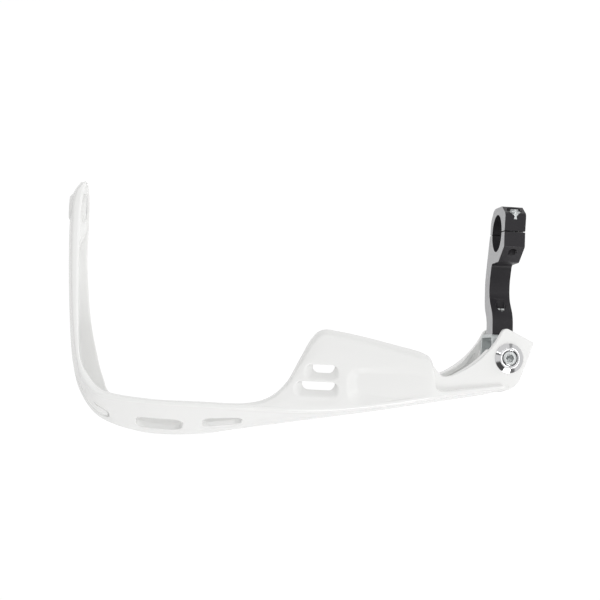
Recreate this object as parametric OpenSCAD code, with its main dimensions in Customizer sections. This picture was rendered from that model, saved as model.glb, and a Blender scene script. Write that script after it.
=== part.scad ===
// Hand guard for a motorcycle: one moulded wrap-round shell, held at the bar end by a bolt through its
// bush and on the handlebar by a split clamp, an arm and a U bracket.
// The origin is the centre of the clamp's bore. +X runs along the handlebar from its end towards the
// clamp, +Y is towards the rider and +Z is up.

/* [Handlebar clamp] */
// Diameter of the handlebar tube that the clamp grips
bar_d = 22.2; // [20:0.1:25.4]
// Wall of the clamp round the tube
clamp_wall = 4.6; // [4:0.1:6]
// Width of the clamp and the arm, along the handlebar
arm_w = 12.5; // [11:0.5:18]
// Gap between the clamp's two halves
split_gap = 0.6; // [0.4:0.1:1.5]
// Distance from the bore's wall to the clamp screw's axis
screw_offset = 3.2; // [3:0.1:5]
// Distance from the clamp screw's axis to the face of its lug
lug_cover = 3.8; // [3.5:0.1:6]
// Height of the cap above the handlebar's axis
cap_h = 15.4; // [15.2:0.1:20]
// Radius of the rounded tongue that the cap tips on
tongue_r = 1.4; // [1:0.1:1.6]

/* [Arm] */
// Distance from the handlebar's axis to the arm's end face
arm_reach = 60.5; // [56:0.5:80]
// Depth of the bracket screw's axis below the handlebar's axis
arm_drop = 8; // [6:0.5:10]
// How far the middle of the arm bows down past its end
arm_bow = 10.6; // [8:0.2:12]
// Thickness of the arm in its middle
arm_mid_t = 11; // [9:0.5:13]
// Thickness of the arm at its end
arm_end_t = 15; // [13:0.5:17]

/* [Pivot bracket] */
// Distance from the arm's end face to the pivot bolt
bracket_reach = 14; // [13:0.5:17]
// Width of the bracket's strip
bracket_w = 16; // [14:0.5:18]
// Outer distance between the bracket's two cheeks
bracket_span = 22; // [20:0.5:26]
// Thickness of the bracket's strip
bracket_t = 2; // [1.5:0.1:3]
// Swivel of the guard and its bracket about the bracket screw, in degrees
swivel = 5; // [0:0.5:8]

/* [Guard shell] */
// Distance from the clamp's middle to the bush's inner seat, along the handlebar
grip_reach = 250; // [240:1:265]
// Wall of the moulding
wall = 3; // [2.4:0.1:3.6]
// Full height of the channel at its front
shell_h = 38; // [36:0.5:42]
// Height of the shell's upper edge above the near ear
brow_step = 1.2; // [0.8:0.1:2]
// Height by which the shield's rolled end stands above its level at the bar's end side
shield_rise = 4; // [2:0.2:4.4]
// Thickness of each ear
ear_t = 3.5; // [3:0.1:4.5]
// Clear distance between the two ears
ear_gap = 30.4; // [29:0.2:33]
// Diameter of the boss inside each ear
ear_boss_d = 17; // [16.5:0.5:19]
// Depth of the lip under each ear's curved rear edge
lip_depth = 6.5; // [4:0.5:8]
// How far the shield's rear edge rolls down
edge_roll = 2.6; // [1.5:0.1:3]
// Depth of the scoop in the shield
scoop_depth = 1.8; // [1:0.1:2.2]

/* [Bar-end bush] */
// Diameter of the bolt's hole
bush_hole_d = 7; // [6:0.1:8.5]
// Diameter of the bush's barrel
bush_d = 11; // [10.5:0.1:12.5]
// Diameter of the bush's flange
flange_d = 14; // [13:0.5:16]
// Thickness of the bush's flange
flange_t = 1.5; // [1:0.1:2]
// Length of the moulded boss that holds the bush
boss_l = 10; // [8:0.5:12]
// Diameter of that boss
boss_d = 17; // [16:0.5:19]

/* [Fasteners] */
// Thread diameter of the clamp screw and the pivot bolt
bolt_d = 5; // [5:0.1:5.2]
// Head diameter of the clamp screw and the pivot bolt
head_d = 8.5; // [8:0.1:9]
// Head height of the clamp screw and the pivot bolt
head_h = 5; // [4.5:0.1:5.5]
// Width across flats of their hex sockets
hex_af = 4; // [3.5:0.1:4.5]
// Length of the clamp screw under its head
clamp_screw_l = 16; // [14:1:18]
// Length of the pivot bolt under its head
pivot_bolt_l = 45; // [44:1:50]
// Thread diameter of the bracket screw
bracket_screw_d = 6; // [5:0.1:6]
// Length of the bracket screw under its head
bracket_screw_l = 18; // [16:1:20]
// Diameter of the polished collar on the near ear
collar_d = 17.5; // [16:0.5:18.5]
// Height of the collar's cone above the ear
collar_h = 2; // [1.5:0.1:2.4]
// Diameter of the collar's spigot in the ear
spigot_d = 12; // [11.5:0.1:12.5]

/* [Hidden] */
$fn = 64;

// Running clearance round a screw in a plain hole, and between a thread and its tapped hole
hole_clear = 0.25;
thread_clear = 0.05;
// Clearance of a piece that is pushed into its seat
seat_clear = 0.1;
// Overshoot of a cutting shape past the face that it cuts
over = 1;

bar_r = bar_d / 2;
screw_z = bar_r + screw_offset;
lug_z = screw_z + lug_cover;
far_z = bar_r + clamp_wall;
tongue_z = bar_r + clamp_wall / 2;
head_seat_y = cap_h - 3.4 - head_h;
pivot_y = -(arm_reach + bracket_reach);
pivot_z = -arm_drop;
ear_z = ear_gap / 2 + ear_t;
boss_face_z = bracket_span / 2;
spigot_floor_z = ear_z + collar_h - head_h;
spigot_end_z = spigot_floor_z - 1.5;

// Colours
shell_colour = "#eceae6";
anodised_colour = "#2b2a2e";
zinc_colour = "#c3cdd0";
polished_colour = "#d4d4d8";
bush_colour = "#b4b6b8";

// Plain vector and curve functions
function unit(v) = v / norm(v);
function turn(v, a) = [v.x * cos(a) - v.y * sin(a), v.x * sin(a) + v.y * cos(a)];
function lerp(a, b, t) = a + (b - a) * t;
function bend(a, b, c, t) = lerp(lerp(a, b, t), lerp(b, c, t), t);
function flat(p) = [p.x, p.y];
function at_z(p, z) = [p.x, p.y, z];

// A point on the smooth curve through a list of points or numbers, where t counts along the list
function spline(list, t) =
    let (
        last = len(list) - 1,
        i = min(floor(t), last - 1),
        f = t - i,
        b = list[i],
        c = list[i + 1],
        a = i > 0 ? list[i - 1] : b * 2 - c,
        d = i < last - 1 ? list[i + 2] : c * 2 - b
    )
    b + (c - a) * f / 2 + (a * 2 - b * 5 + c * 4 - d) * f * f / 2 + (b * 3 - a - c * 3 + d) * f * f * f / 2;

// An outline whose corners are [x, y, radius], each rounded by an arc
function rounded(corners, steps = 6) =
    let (n = len(corners))
    [
        for (i = [0 : n - 1])
            let (
                p = flat(corners[i]),
                r = corners[i].z,
                u = unit(flat(corners[(i + n - 1) % n]) - p),
                v = unit(flat(corners[(i + 1) % n]) - p),
                half = acos(min(1, max(-1, u * v))) / 2,
                centre = p + unit(u + v) * r / sin(half),
                start = p + u * r / tan(half) - centre,
                sweep = (180 - 2 * half) * (u.x * v.y - u.y * v.x > 0 ? -1 : 1)
            )
            each (r == 0 ? [p] : [for (k = [0 : steps]) centre + turn(start, sweep * k / steps)])
    ];

// Points of the arc through three points
function arc_through(p, q, r, steps = 12) =
    let (
        a = q - p,
        b = r - p,
        d = 2 * (a.x * b.y - a.y * b.x),
        c = p + [b.y * (a * a) - a.y * (b * b), a.x * (b * b) - b.x * (a * a)] / d,
        s = p - c,
        e = r - c,
        sweep = atan2(s.x * e.y - s.y * e.x, s * e)
    )
    [for (k = [0 : steps]) c + turn(s, sweep * k / steps)];

// Placing
module along_x() {
    rotate([90, 0, 90]) children();
}

module along_y() {
    rotate([-90, 0, 0]) children();
}

// The guard's own frame: its origin is the pivot, z is the pivot bolt's axis
module at_pivot() {
    translate([0, pivot_y, pivot_z]) rotate([0, swivel, 0]) children();
}

module hex_socket(af, depth) {
    cylinder(d = af / cos(30), h = depth, $fn = 6);
}

// Screws stand with the head's top at z = 0 and the shank below
module socket_screw(d, shank_l, head_r, height, af) {
    difference() {
        union() {
            translate([0, 0, -0.4]) cylinder(r1 = head_r, r2 = head_r - 0.4, h = 0.4);
            translate([0, 0, -height]) cylinder(r = head_r, h = height - 0.4);
            translate([0, 0, -height - shank_l + 0.7]) cylinder(d = d, h = shank_l - 0.6);
            translate([0, 0, -height - shank_l]) cylinder(r1 = d / 2 - 0.6, r2 = d / 2, h = 0.7);
        }
        translate([0, 0, -height * 0.55]) hex_socket(af, height);
    }
}

// Clamp and arm
// The side profile of the arm and the clamp's lower half, as [y, z, radius]
arm_mid_z = -arm_drop - arm_bow;
arm_start_y = -17.8;
arm_neck_y = -arm_reach + 11.5;
arm_bend_r = (arm_start_y - arm_neck_y) * 0.45;
arm_profile = [
    [-split_gap / 2, lug_z, 0],
    [-9, lug_z + 0.4, 1.2],
    [arm_start_y + 0.4, 6.5, 4],
    [arm_start_y, -9.5, 2.6],
    [lerp(arm_start_y, arm_neck_y, 0.33), arm_mid_z + arm_mid_t / 2 + 0.2, arm_bend_r * 1.25],
    [lerp(arm_start_y, arm_neck_y, 0.65), arm_mid_z + arm_mid_t / 2 + 0.6, arm_bend_r],
    [arm_neck_y, -arm_drop + arm_end_t / 2 - 1.4, arm_bend_r],
    [-arm_reach, -arm_drop + arm_end_t / 2, 0],
    [-arm_reach, -arm_drop - arm_end_t / 2, 0],
    [arm_neck_y - 2.5, -arm_drop - arm_end_t / 2 - 0.4, arm_bend_r * 0.85],
    [arm_neck_y + 5.5, arm_mid_z - arm_mid_t / 2 + 1, arm_bend_r],
    [lerp(arm_start_y, arm_neck_y, 0.3), arm_mid_z - arm_mid_t / 2 - 0.3, arm_bend_r * 1.7],
    [-5, -far_z - 2.6, 10],
    [-split_gap / 2, -far_z - 1, 0],
];

// The side profile of the clamp's cap
cap_profile = [
    [split_gap / 2, -far_z - 0.4, 0],
    [8, -far_z, 8],
    [cap_h, -9, 8],
    [cap_h, 9.4, 3],
    [10.4, lug_z + 0.8, 3],
    [split_gap / 2, lug_z, 0],
];

module clamp_bore() {
    along_x() cylinder(r = bar_r, h = arm_w + 2 * over, center = true, $fn = 96);
}

module tongue(r) {
    translate([0, -split_gap / 2, -tongue_z]) along_x() cylinder(r = r, h = arm_w, center = true, $fn = 32);
}

module clamp_arm() {
    color(anodised_colour)
    difference() {
        union() {
            along_x() linear_extrude(arm_w, center = true) polygon(rounded(arm_profile));
            tongue(tongue_r);
        }
        clamp_bore();
        // Tapped hole of the clamp screw, which comes out of the lug's sloping underside
        translate([0, -20, screw_z]) along_y() cylinder(d = bolt_d + 2 * thread_clear, h = 20 + over);
        // Tapped hole of the bracket screw, which breaks out where the arm bows away
        translate([0, -arm_reach - over, -arm_drop]) along_y()
            cylinder(d = bracket_screw_d + 2 * thread_clear, h = 25.5 + over);
    }
}

module clamp_cap() {
    color(anodised_colour)
    difference() {
        along_x() linear_extrude(arm_w, center = true) polygon(rounded(cap_profile));
        clamp_bore();
        tongue(tongue_r + seat_clear);
        translate([0, head_seat_y, screw_z]) along_y() cylinder(d = head_d + 2 * hole_clear, h = cap_h);
        translate([0, -over, screw_z]) along_y() cylinder(d = bolt_d + 2 * hole_clear, h = cap_h + over);
    }
}

module clamp_screw() {
    color(zinc_colour)
    translate([0, head_seat_y + head_h, screw_z]) along_y()
        socket_screw(bolt_d, clamp_screw_l, head_d / 2, head_h, hex_af);
}

// Pivot bracket and its screw
bracket_inner_r = 1.5;
bracket_hole_d = bolt_d + 2 * hole_clear;

module u_profile(inset, corner) {
    half = bracket_span / 2 - inset;
    polygon(rounded([
        [-bracket_w - inset, -half, 0],
        [bracket_reach - inset, -half, corner],
        [bracket_reach - inset, half, corner],
        [-bracket_w - inset, half, 0],
    ]));
}

module u_bracket() {
    color(zinc_colour)
    at_pivot() difference() {
        intersection() {
            along_x() linear_extrude(bracket_w, center = true) difference() {
                u_profile(0, bracket_inner_r + bracket_t);
                u_profile(bracket_t, bracket_inner_r);
            }
            union() {
                cylinder(d = bracket_w, h = bracket_span + 2, center = true);
                translate([-bracket_w / 2, 0, -bracket_span / 2 - 1])
                    cube([bracket_w, bracket_reach, bracket_span + 2]);
            }
        }
        cylinder(d = bracket_hole_d, h = bracket_span + 2, center = true);
        along_y() cylinder(d = bracket_screw_d + 2 * hole_clear, h = bracket_reach + over);
    }
}

// The bracket screw has a low domed head, and stands inside the bracket
module bracket_screw() {
    dome_r = bracket_screw_d * 0.875;
    dome_h = bracket_screw_d * 0.55;
    seat = -arm_reach - bracket_t;
    color(zinc_colour)
    translate([0, seat, -arm_drop]) along_y() difference() {
        union() {
            rotate_extrude() polygon([
                [0, -dome_h],
                [dome_r * 0.55, -dome_h],
                [dome_r * 0.8, -dome_h * 0.78],
                [dome_r * 0.95, -dome_h * 0.45],
                [dome_r, -dome_h * 0.12],
                [dome_r, 0],
                [0, 0],
            ]);
            translate([0, 0, -0.1]) cylinder(d = bracket_screw_d, h = bracket_screw_l - 0.7);
            translate([0, 0, bracket_screw_l - 0.8])
                cylinder(r1 = bracket_screw_d / 2, r2 = bracket_screw_d / 2 - 0.7, h = 0.8);
        }
        translate([0, 0, -dome_h - over]) hex_socket(hex_af, dome_h * 0.6 + over);
    }
}

// Pivot hardware, drawn in the guard's frame
module pivot_bolt() {
    color(zinc_colour)
    at_pivot() translate([0, 0, spigot_floor_z + head_h])
        socket_screw(bolt_d, pivot_bolt_l, head_d / 2, head_h, hex_af);
}

module pivot_collar() {
    cup_r = head_d / 2 + 0.35;
    rim_r = spigot_d / 2;
    color(polished_colour)
    at_pivot() rotate_extrude() polygon([
        [bolt_d / 2 + hole_clear, spigot_end_z],
        [rim_r, spigot_end_z],
        [rim_r, ear_z],
        [collar_d / 2, ear_z],
        [collar_d / 2, ear_z + 0.4],
        [rim_r + 0.2, ear_z + collar_h],
        [cup_r + 0.3, ear_z + collar_h],
        [cup_r, ear_z + collar_h - 0.3],
        [cup_r, spigot_floor_z],
        [bolt_d / 2 + hole_clear, spigot_floor_z],
    ]);
}

module tube(outer_d, inner_d, z_low, z_high) {
    translate([0, 0, z_low]) difference() {
        cylinder(d = outer_d, h = z_high - z_low);
        translate([0, 0, -over]) cylinder(d = inner_d, h = z_high - z_low + 2 * over);
    }
}

module pivot_spacer() {
    inner_half = bracket_span / 2 - bracket_t;
    color(zinc_colour) at_pivot() tube(8, bracket_hole_d, -inner_half, inner_half);
}

washer_t = 1;
module pivot_washer() {
    color(zinc_colour) at_pivot() tube(15, bolt_d + 0.3, -ear_z - washer_t, -ear_z);
}

nut_af = 8;
nut_h = 5;
module pivot_nut() {
    top = -ear_z - washer_t;
    color(zinc_colour)
    at_pivot() difference() {
        union() {
            translate([0, 0, top - 3.6]) cylinder(d = nut_af / cos(30), h = 3.6, $fn = 6);
            translate([0, 0, top - nut_h]) cylinder(d1 = nut_af - 1.4, d2 = nut_af, h = nut_h - 3.6 + 0.01);
        }
        translate([0, 0, top - nut_h - over]) cylinder(d = bolt_d + 2 * thread_clear, h = nut_h + 2 * over);
    }
}

// Guard shell
// Where the bar end's axis lies in the guard's frame
tip_x = -grip_reach * cos(swivel) - arm_drop * sin(swivel);
tip_y = -pivot_y;
tip_z = -grip_reach * sin(swivel) + arm_drop * cos(swivel);
function shell_mid_z(x) = x < 0 ? tip_z * x / tip_x : 0;
// The shield rises from its start to its end, and the brow then falls back to its step above the near ear
shield_start = -150;
shield_end = -48;
function rise(x) =
    x < shield_start ? 0 :
    x < shield_end ? shield_rise * (x - shield_start) / (shield_end - shield_start) :
    lerp(shield_rise, 0, min(1, 1 - x / shield_end));

// Plan outlines from the tip round the front to the ears, matched point for point. Those at the tip and
// along the arm are set out from the bar end, the others from the pivot.
function from_tip(x, y) = [tip_x + x, tip_y + y];
// Lower outer edge
foot_line = [
    from_tip(-3, 15.4), from_tip(-7, 8.4), from_tip(-8.2, -7), from_tip(-7.2, -34), from_tip(-5.2, -64),
    from_tip(-2.4, -89), [-246, -33.5], [-233, -48], [-207, -55.4], [-178, -55.2], [-154, -51], [-142.5, -48.8],
    [-133, -47.1], [-125, -45.6], [-118.5, -44.4], [-112, -43.2], [-102, -41.4], [-85, -38.2], [-66, -34.6],
    [-55, -32.5], [-48, -31.2], [-43, -30.3], [-38.5, -29.4], [-32, -28.2], [-20, -25.9], [-7.5, -23.2],
    [2, -19.4],
];
// Upper outer edge
brow_line = [
    from_tip(-4, 13.6), from_tip(-8.2, 6), from_tip(-8.8, -9.5), from_tip(-7.8, -36.5), from_tip(-5.4, -65.5),
    from_tip(-2, -87), [-247.3, -25], [-237, -33], [-212, -35.9], [-183, -36.6], [-158, -37], [-146, -37.1],
    [-137, -37.2], [-129, -37.2], [-122, -37], [-115, -36.7], [-105, -36], [-88, -34], [-69, -30.8],
    [-58, -28.6], [-51, -27.2], [-46, -26.2], [-41.5, -25.3], [-35, -24], [-22.5, -21.6], [-9, -19.4],
    [0.5, -17.6],
];
// Upper inner edge: the rim, the shield's rear edge and the step down to the near ear
rim_line = [
    from_tip(-1.4, 14), from_tip(-3, 6), from_tip(-3.6, -9.5), from_tip(-3.2, -36), from_tip(-1.8, -65),
    from_tip(0, -85.5), [-244.6, -21.6], [-234.5, -30.2], [-210, -33.5], [-182, -33.8], [-156, -33.6],
    [-141.5, -29.8], [-131.4, -20.8], [-124.1, -7], [-117.9, 5.2], [-111.8, 10.9], [-102.6, 10.6], [-85.6, 7.8],
    [-66.4, 3.8], [-54, 1], [-48, -2.4], [-45.6, -10], [-45.2, -18], [-39.6, -20.8], [-25, -18.6],
    [-10, -16.6], [-1, -15.2],
];
// Lower inner edge
hem_line = [
    from_tip(0.5, 14.5), from_tip(1.8, 7.5), from_tip(2.4, -8.5), from_tip(3, -32.5), from_tip(6.5, -62.5),
    from_tip(11.6, -84), [-233.8, -23], [-228, -32.4], [-207, -36.2], [-180, -37], [-155, -36.4], [-143, -35],
    [-134, -33.6], [-126, -32.2], [-119, -30.9], [-112, -29.6], [-102, -27.4], [-86, -24], [-67, -20.4],
    [-56, -18.4], [-49, -17.2], [-44, -17], [-39, -17.2], [-33, -17], [-21, -15.5], [-9, -13.4],
    [0, -11.6],
];
// How much lower the channel's half height is than at the front
taper_line = [9.6, 8.6, 8, 6.8, 5, 3, 2, 1.2, 0.6, 0.3, for (i = [10 : 26]) 0];
// Share of the edge roll, and of the shield's crown
roll_line = [
    for (i = [0 : 26])
        i < 10 ? 0.4 : i < 13 ? 0.4 + (i - 9) * 0.15 : i < 21 ? 1 : i < 23 ? 0.8 : 0.4
];
crown_line = [for (i = [0 : 26]) i < 11 || i > 20 ? 0 : sin((i - 10) * 180 / 11)];
crown_h = 1;
web_bulge = 0.8;
station_steps = 3;
stations = (len(foot_line) - 1) * station_steps;

// One section of the shell as [outer points, inner points], from the rim over the top, down the front
// wall and back along the bottom to the hem
function section(i) =
    let (
        t = i / station_steps,
        ahead = min(t + 0.2, len(foot_line) - 1),
        back = max(t - 0.2, 0),
        along = unit(spline(brow_line, ahead) - spline(brow_line, back)),
        in = at_z([-along.y, along.x], 0),
        up = [0, 0, 1],
        mid = shell_mid_z(spline(brow_line, t).x),
        half = shell_h / 2 - spline(taper_line, t),
        high = mid + half + (ear_z + brow_step - shell_h / 2) + rise(spline(brow_line, t).x),
        low = mid - half,
        a = at_z(spline(rim_line, t), high),
        b = at_z(spline(brow_line, t), high),
        c = at_z(spline(foot_line, t), low),
        d = at_z(spline(hem_line, t), low),
        top_l = norm(a - b),
        to_a = (a - b) / top_l,
        base_l = norm(d - c),
        to_d = (d - c) / base_l,
        web_l = norm(c - b),
        down = (c - b) / web_l,
        thick = wall * web_l / (high - low),
        b_in = b + down * web_l * wall / (high - low) + in * thick,
        c_in = c - down * web_l * wall / (high - low) + in * thick,
        a_in = a - up * wall,
        d_in = d + up * wall,
        roll = edge_roll * spline(roll_line, t),
        run = min(roll * 1.3, top_l * 0.35),
        crown = up * crown_h * spline(crown_line, t),
        r_b = min(2.6, top_l * 0.4),
        r_c = min(4, base_l * 0.35),
        gap = max(0.4, norm(flat(a_in) - flat(b_in))),
        r_in = min(2.5, gap * 0.6),
        a_low = a_in - up * roll,
        narrow = (flat(b_in) - flat(a_in)) * (flat(a_in) - flat(b)) >= 0,
        edge_in = narrow ? flat(a_in) - flat(to_a) * 0.4 : flat(b_in),
        bi = at_z(edge_in, b_in.z),
        to_ai = unit(a_in - bi)
    )
    [
        [
            a - up * roll, lerp(a - up * roll * 0.25, b, run * 0.4 / top_l),
            lerp(a, b, run / top_l) + crown * 0.2, lerp(a, b, 0.5) + crown,
            b + to_a * r_b, bend(b + to_a * r_b, b, b + down * r_b, 0.33),
            bend(b + to_a * r_b, b, b + down * r_b, 0.67), b + down * r_b,
            lerp(b, c, 0.3) - in * web_bulge * 0.8, lerp(b, c, 0.55) - in * web_bulge,
            lerp(b, c, 0.8) - in * web_bulge * 0.6,
            c - down * r_c, bend(c - down * r_c, c, c + to_d * r_c, 0.33),
            bend(c - down * r_c, c, c + to_d * r_c, 0.67), c + to_d * r_c,
            lerp(c, d, 0.6), d - to_d * 0.8, d + up * 0.8,
        ],
        [
            a_low, lerp(a_in - up * roll * 0.5, bi, 0.15), lerp(a_in, bi, 0.3) + crown * 0.2,
            lerp(a_in, bi, 0.5) + crown,
            bi + to_ai * r_in, bend(bi + to_ai * r_in, bi, bi + down * r_in, 0.33),
            bend(bi + to_ai * r_in, bi, bi + down * r_in, 0.67), bi + down * r_in,
            lerp(bi, c_in, 0.3) - in * web_bulge * 0.8, lerp(bi, c_in, 0.55) - in * web_bulge,
            lerp(bi, c_in, 0.8) - in * web_bulge * 0.6,
            c_in - down * r_c, bend(c_in - down * r_c, c_in, c_in + to_d * r_c, 0.33),
            bend(c_in - down * r_c, c_in, c_in + to_d * r_c, 0.67), c_in + to_d * r_c,
            lerp(c_in, d_in, 0.6), lerp(c_in, d_in, 0.9), d_in,
        ],
    ];

// The channel: a closed skin over all sections
module channel() {
    rings = [for (i = [0 : stations]) section(i)];
    k = len(rings[0][0]);
    m = 2 * k;
    points = [for (ring = rings) each concat(ring[0], [for (j = [k - 1 : -1 : 0]) ring[1][j]])];
    sides = [
        for (i = [0 : stations - 1], j = [0 : m - 1])
            let (p = i * m + j, q = i * m + (j + 1) % m)
            each [[p, p + m, q], [q, p + m, q + m]]
    ];
    function cap(base) = [
        for (j = [0 : k - 2])
            let (o = base + j, n = base + m - 1 - j)
            each [[o, o + 1, n], [o + 1, n - 1, n]]
    ];
    last = stations * m;
    polyhedron(points, concat(sides, cap(0), [for (f = cap(last)) [f[0], f[2], f[1]]]), convexity = 10);
}

// The ears' outlines, with their curved rear edges. The near one starts under the shield's step, the far
// one at the hem.
ear_rear = [[-36, -12.6], [-18, -1.9], [-6.4, 12.4]];
near_start = [[-48, -6, 0], [-42.4, -10.8, 2]];
far_start = [[-46.4, -16.2, 0]];
function ear_outline(start) = rounded(concat(
    start,
    [for (p = arc_through(ear_rear[0], ear_rear[1], ear_rear[2])) [p.x, p.y, 0]],
    [[-3.4, 18.4, 3.2], [15.2, 9.9, 1.2]],
    [for (p = arc_through([7.6, -11.8], [5, -15.6], [0, -18.6], 5)) [p.x, p.y, 0]],
    [[-30, -22.8, 0], [-46, -22.5, 0]]
));

module ear(z, start) {
    translate([0, 0, z]) linear_extrude(ear_t) polygon(ear_outline(start));
}

// The lip that stiffens an ear's curved rear edge
lip_t = 2.2;
module ear_lip(z) {
    inner = arc_through(ear_rear[0], ear_rear[1], ear_rear[2]);
    outer = [
        for (i = [0 : len(inner) - 1])
            let (along = inner[min(i + 1, len(inner) - 1)] - inner[max(i - 1, 0)])
            inner[i] + turn(unit(along), -90) * lip_t
    ];
    n = 8;
    translate([0, 0, z]) linear_extrude(lip_depth + over)
        polygon(concat([for (k = [0 : n]) inner[k]], [for (k = [n : -1 : 0]) outer[k]]));
}

// A plan outline with straight sides and round ends, of length l and width w
module stadium(l, w) {
    square([l - w, w], center = true);
    for (side = [-1, 1]) translate([side * (l - w) / 2, 0]) circle(d = w);
}

module rounded_box(l, w, r) {
    polygon(rounded([[-l / 2, -w / 2, r], [l / 2, -w / 2, r], [l / 2, w / 2, r], [-l / 2, w / 2, r]]));
}

// Air slots in the front wall, as [station along the outlines, length, height, middle above the shell's]
slots = [[6.45, 28, 13, -4], [8.28, 27, 13.5, -3.8], [9.6, 23, 12, -0.5]];
slot_mid = 0.6;
slot_reach = 26;
module air_slot(slot) {
    t = slot[0];
    along = unit(spline(foot_line, t + 0.2) - spline(foot_line, t - 0.2));
    p = lerp(spline(brow_line, t), spline(foot_line, t), slot_mid);
    translate([p.x, p.y, shell_mid_z(p.x) + slot[3]]) rotate([90, 0, atan2(along.y, along.x)])
        linear_extrude(slot_reach, center = true) rounded_box(slot[1], slot[2], 5);
}

// The shield's upper face, which slopes down from the pivot to the bar's end
shield_fall = tip_z / tip_x + shield_rise / (shield_end - shield_start);
module on_shield() {
    translate([0, 0, ear_z + brow_step + rise(shield_end) - (shield_fall - tip_z / tip_x) * shield_end])
        rotate([0, -atan(shield_fall), 0]) children();
}

// Louvred vents in the shield, as [x, y, length] at its face. Their walls lean towards the rider, and
// their ends towards the bar's end are ramps.
vents = [[-112.2, -13.9, 19.4], [-114.8, -23.8, 25.4]];
vent_w = 8.2;
vent_lean = 3.6;
vent_ramp = 6.6;
module vent_level(v, z) {
    share = -z / wall;
    translate([v[0] + vent_ramp * 0.27 * share, v[1] + vent_lean * share, z])
        linear_extrude(0.1) stadium(v[2] - vent_ramp * share, vent_w - share, $fn = 32);
}

module vent(v) {
    hull() {
        vent_level(v, over);
        vent_level(v, -wall - over);
    }
}

// The scoop's floor is deepest at its round left end and runs out to the right
scoop_ends = [-92, -58];
module scoop() {
    edge = rounded([[-98, -10.6, 8], [-54, -9.4, 5], [-50, -25.4, 5], [-97, -34.6, 9]], 5);
    floor = rounded([[-91.8, -13.4, 4], [-58, -12.6, 4], [-56, -24, 4], [-70, -27.2, 3], [-89.8, -23, 6]], 5);
    slope = asin(scoop_depth / (scoop_ends[1] - scoop_ends[0]));
    translate([scoop_ends[1], 0, crown_h * 0.7]) rotate([0, -slope, 0]) translate([-scoop_ends[1], 0, 0])
        hull() {
            linear_extrude(0.1) polygon(floor);
            translate([0, 0, scoop_depth + 1]) linear_extrude(0.1) polygon(edge);
        }
}

module guard_shell() {
    color(shell_colour)
    difference() {
        union() {
            at_pivot() {
                channel();
                ear(ear_gap / 2, near_start);
                ear(-ear_z, far_start);
                ear_lip(ear_gap / 2 - lip_depth);
                ear_lip(-ear_gap / 2 - over);
                translate([0, 0, boss_face_z]) cylinder(d = ear_boss_d, h = ear_z - boss_face_z - over);
                translate([0, 0, -ear_z + over]) cylinder(d = ear_boss_d, h = ear_z - boss_face_z - over);
            }
            translate([-grip_reach - boss_l + 1.2, 0, 0]) along_x() cylinder(d = boss_d, h = boss_l - 1.2);
            translate([-grip_reach - boss_l, 0, 0]) along_x() cylinder(d1 = boss_d - 3, d2 = boss_d, h = 1.21);
        }
        at_pivot() {
            for (slot = slots) air_slot(slot);
            on_shield() {
                for (v = vents) vent(v);
                scoop();
            }
            translate([0, 0, -ear_z - over]) cylinder(d = bracket_hole_d, h = 2 * ear_z + 2 * over);
            translate([0, 0, spigot_end_z]) cylinder(d = spigot_d + 2 * seat_clear, h = ear_z);
        }
        translate([-grip_reach - boss_l - over, 0, 0]) along_x()
            cylinder(d = bush_d + 2 * seat_clear, h = boss_l + 2 * over);
        translate([-grip_reach - flange_t, 0, 0]) along_x()
            cylinder(d = flange_d + 2 * seat_clear, h = flange_t + 8);
    }
}

// The bush is pushed into its boss from the hand's side, where its flange lies flush
module bar_end_bush() {
    color(bush_colour)
    translate([-grip_reach, 0, 0]) along_x() difference() {
        union() {
            translate([0, 0, -boss_l]) cylinder(d = bush_d, h = boss_l - 0.3);
            translate([0, 0, -flange_t]) cylinder(d = flange_d, h = flange_t - 0.3);
            translate([0, 0, -0.31]) cylinder(d1 = flange_d, d2 = flange_d - 0.6, h = 0.31);
        }
        translate([0, 0, -boss_l - over]) cylinder(d = bush_hole_d, h = boss_l + 2 * over);
    }
}

guard_shell();
bar_end_bush();
clamp_arm();
clamp_cap();
clamp_screw();
u_bracket();
bracket_screw();
pivot_bolt();
pivot_collar();
pivot_spacer();
pivot_washer();
pivot_nut();
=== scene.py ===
"""Finish of a motorcycle hand guard: its moulded shell, its clamp arm, its pivot and the stage round it.

Lengths in the outlines are millimetres in the guard's own frame, whose origin is the pivot and whose z is
the pivot bolt's axis. The meshes are in metres in the part's frame.
"""

import math

import bmesh
import bpy
import numpy as np
from mathutils import Matrix


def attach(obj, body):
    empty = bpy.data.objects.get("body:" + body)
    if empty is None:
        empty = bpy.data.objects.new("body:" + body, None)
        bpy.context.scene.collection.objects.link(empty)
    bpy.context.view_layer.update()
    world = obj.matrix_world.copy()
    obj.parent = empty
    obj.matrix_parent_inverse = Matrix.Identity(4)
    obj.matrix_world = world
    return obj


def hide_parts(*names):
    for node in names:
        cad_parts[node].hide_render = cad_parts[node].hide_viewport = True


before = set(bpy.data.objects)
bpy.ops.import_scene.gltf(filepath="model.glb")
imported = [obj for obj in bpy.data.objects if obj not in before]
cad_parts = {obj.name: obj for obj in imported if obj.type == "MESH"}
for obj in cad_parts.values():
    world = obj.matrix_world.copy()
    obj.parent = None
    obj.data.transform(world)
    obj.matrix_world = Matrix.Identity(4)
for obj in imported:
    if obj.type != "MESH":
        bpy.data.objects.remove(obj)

bl_info = {
    "name": "Motorcycle hand guard",
    "version": (1, 0, 0),
    "blender": (4, 5, 0),
    "location": "View3D > Sidebar > Hand Guard",
    "description": "Builds the finish of a moulded hand guard with its clamp and pivot",
    "category": "Object",
}

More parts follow.
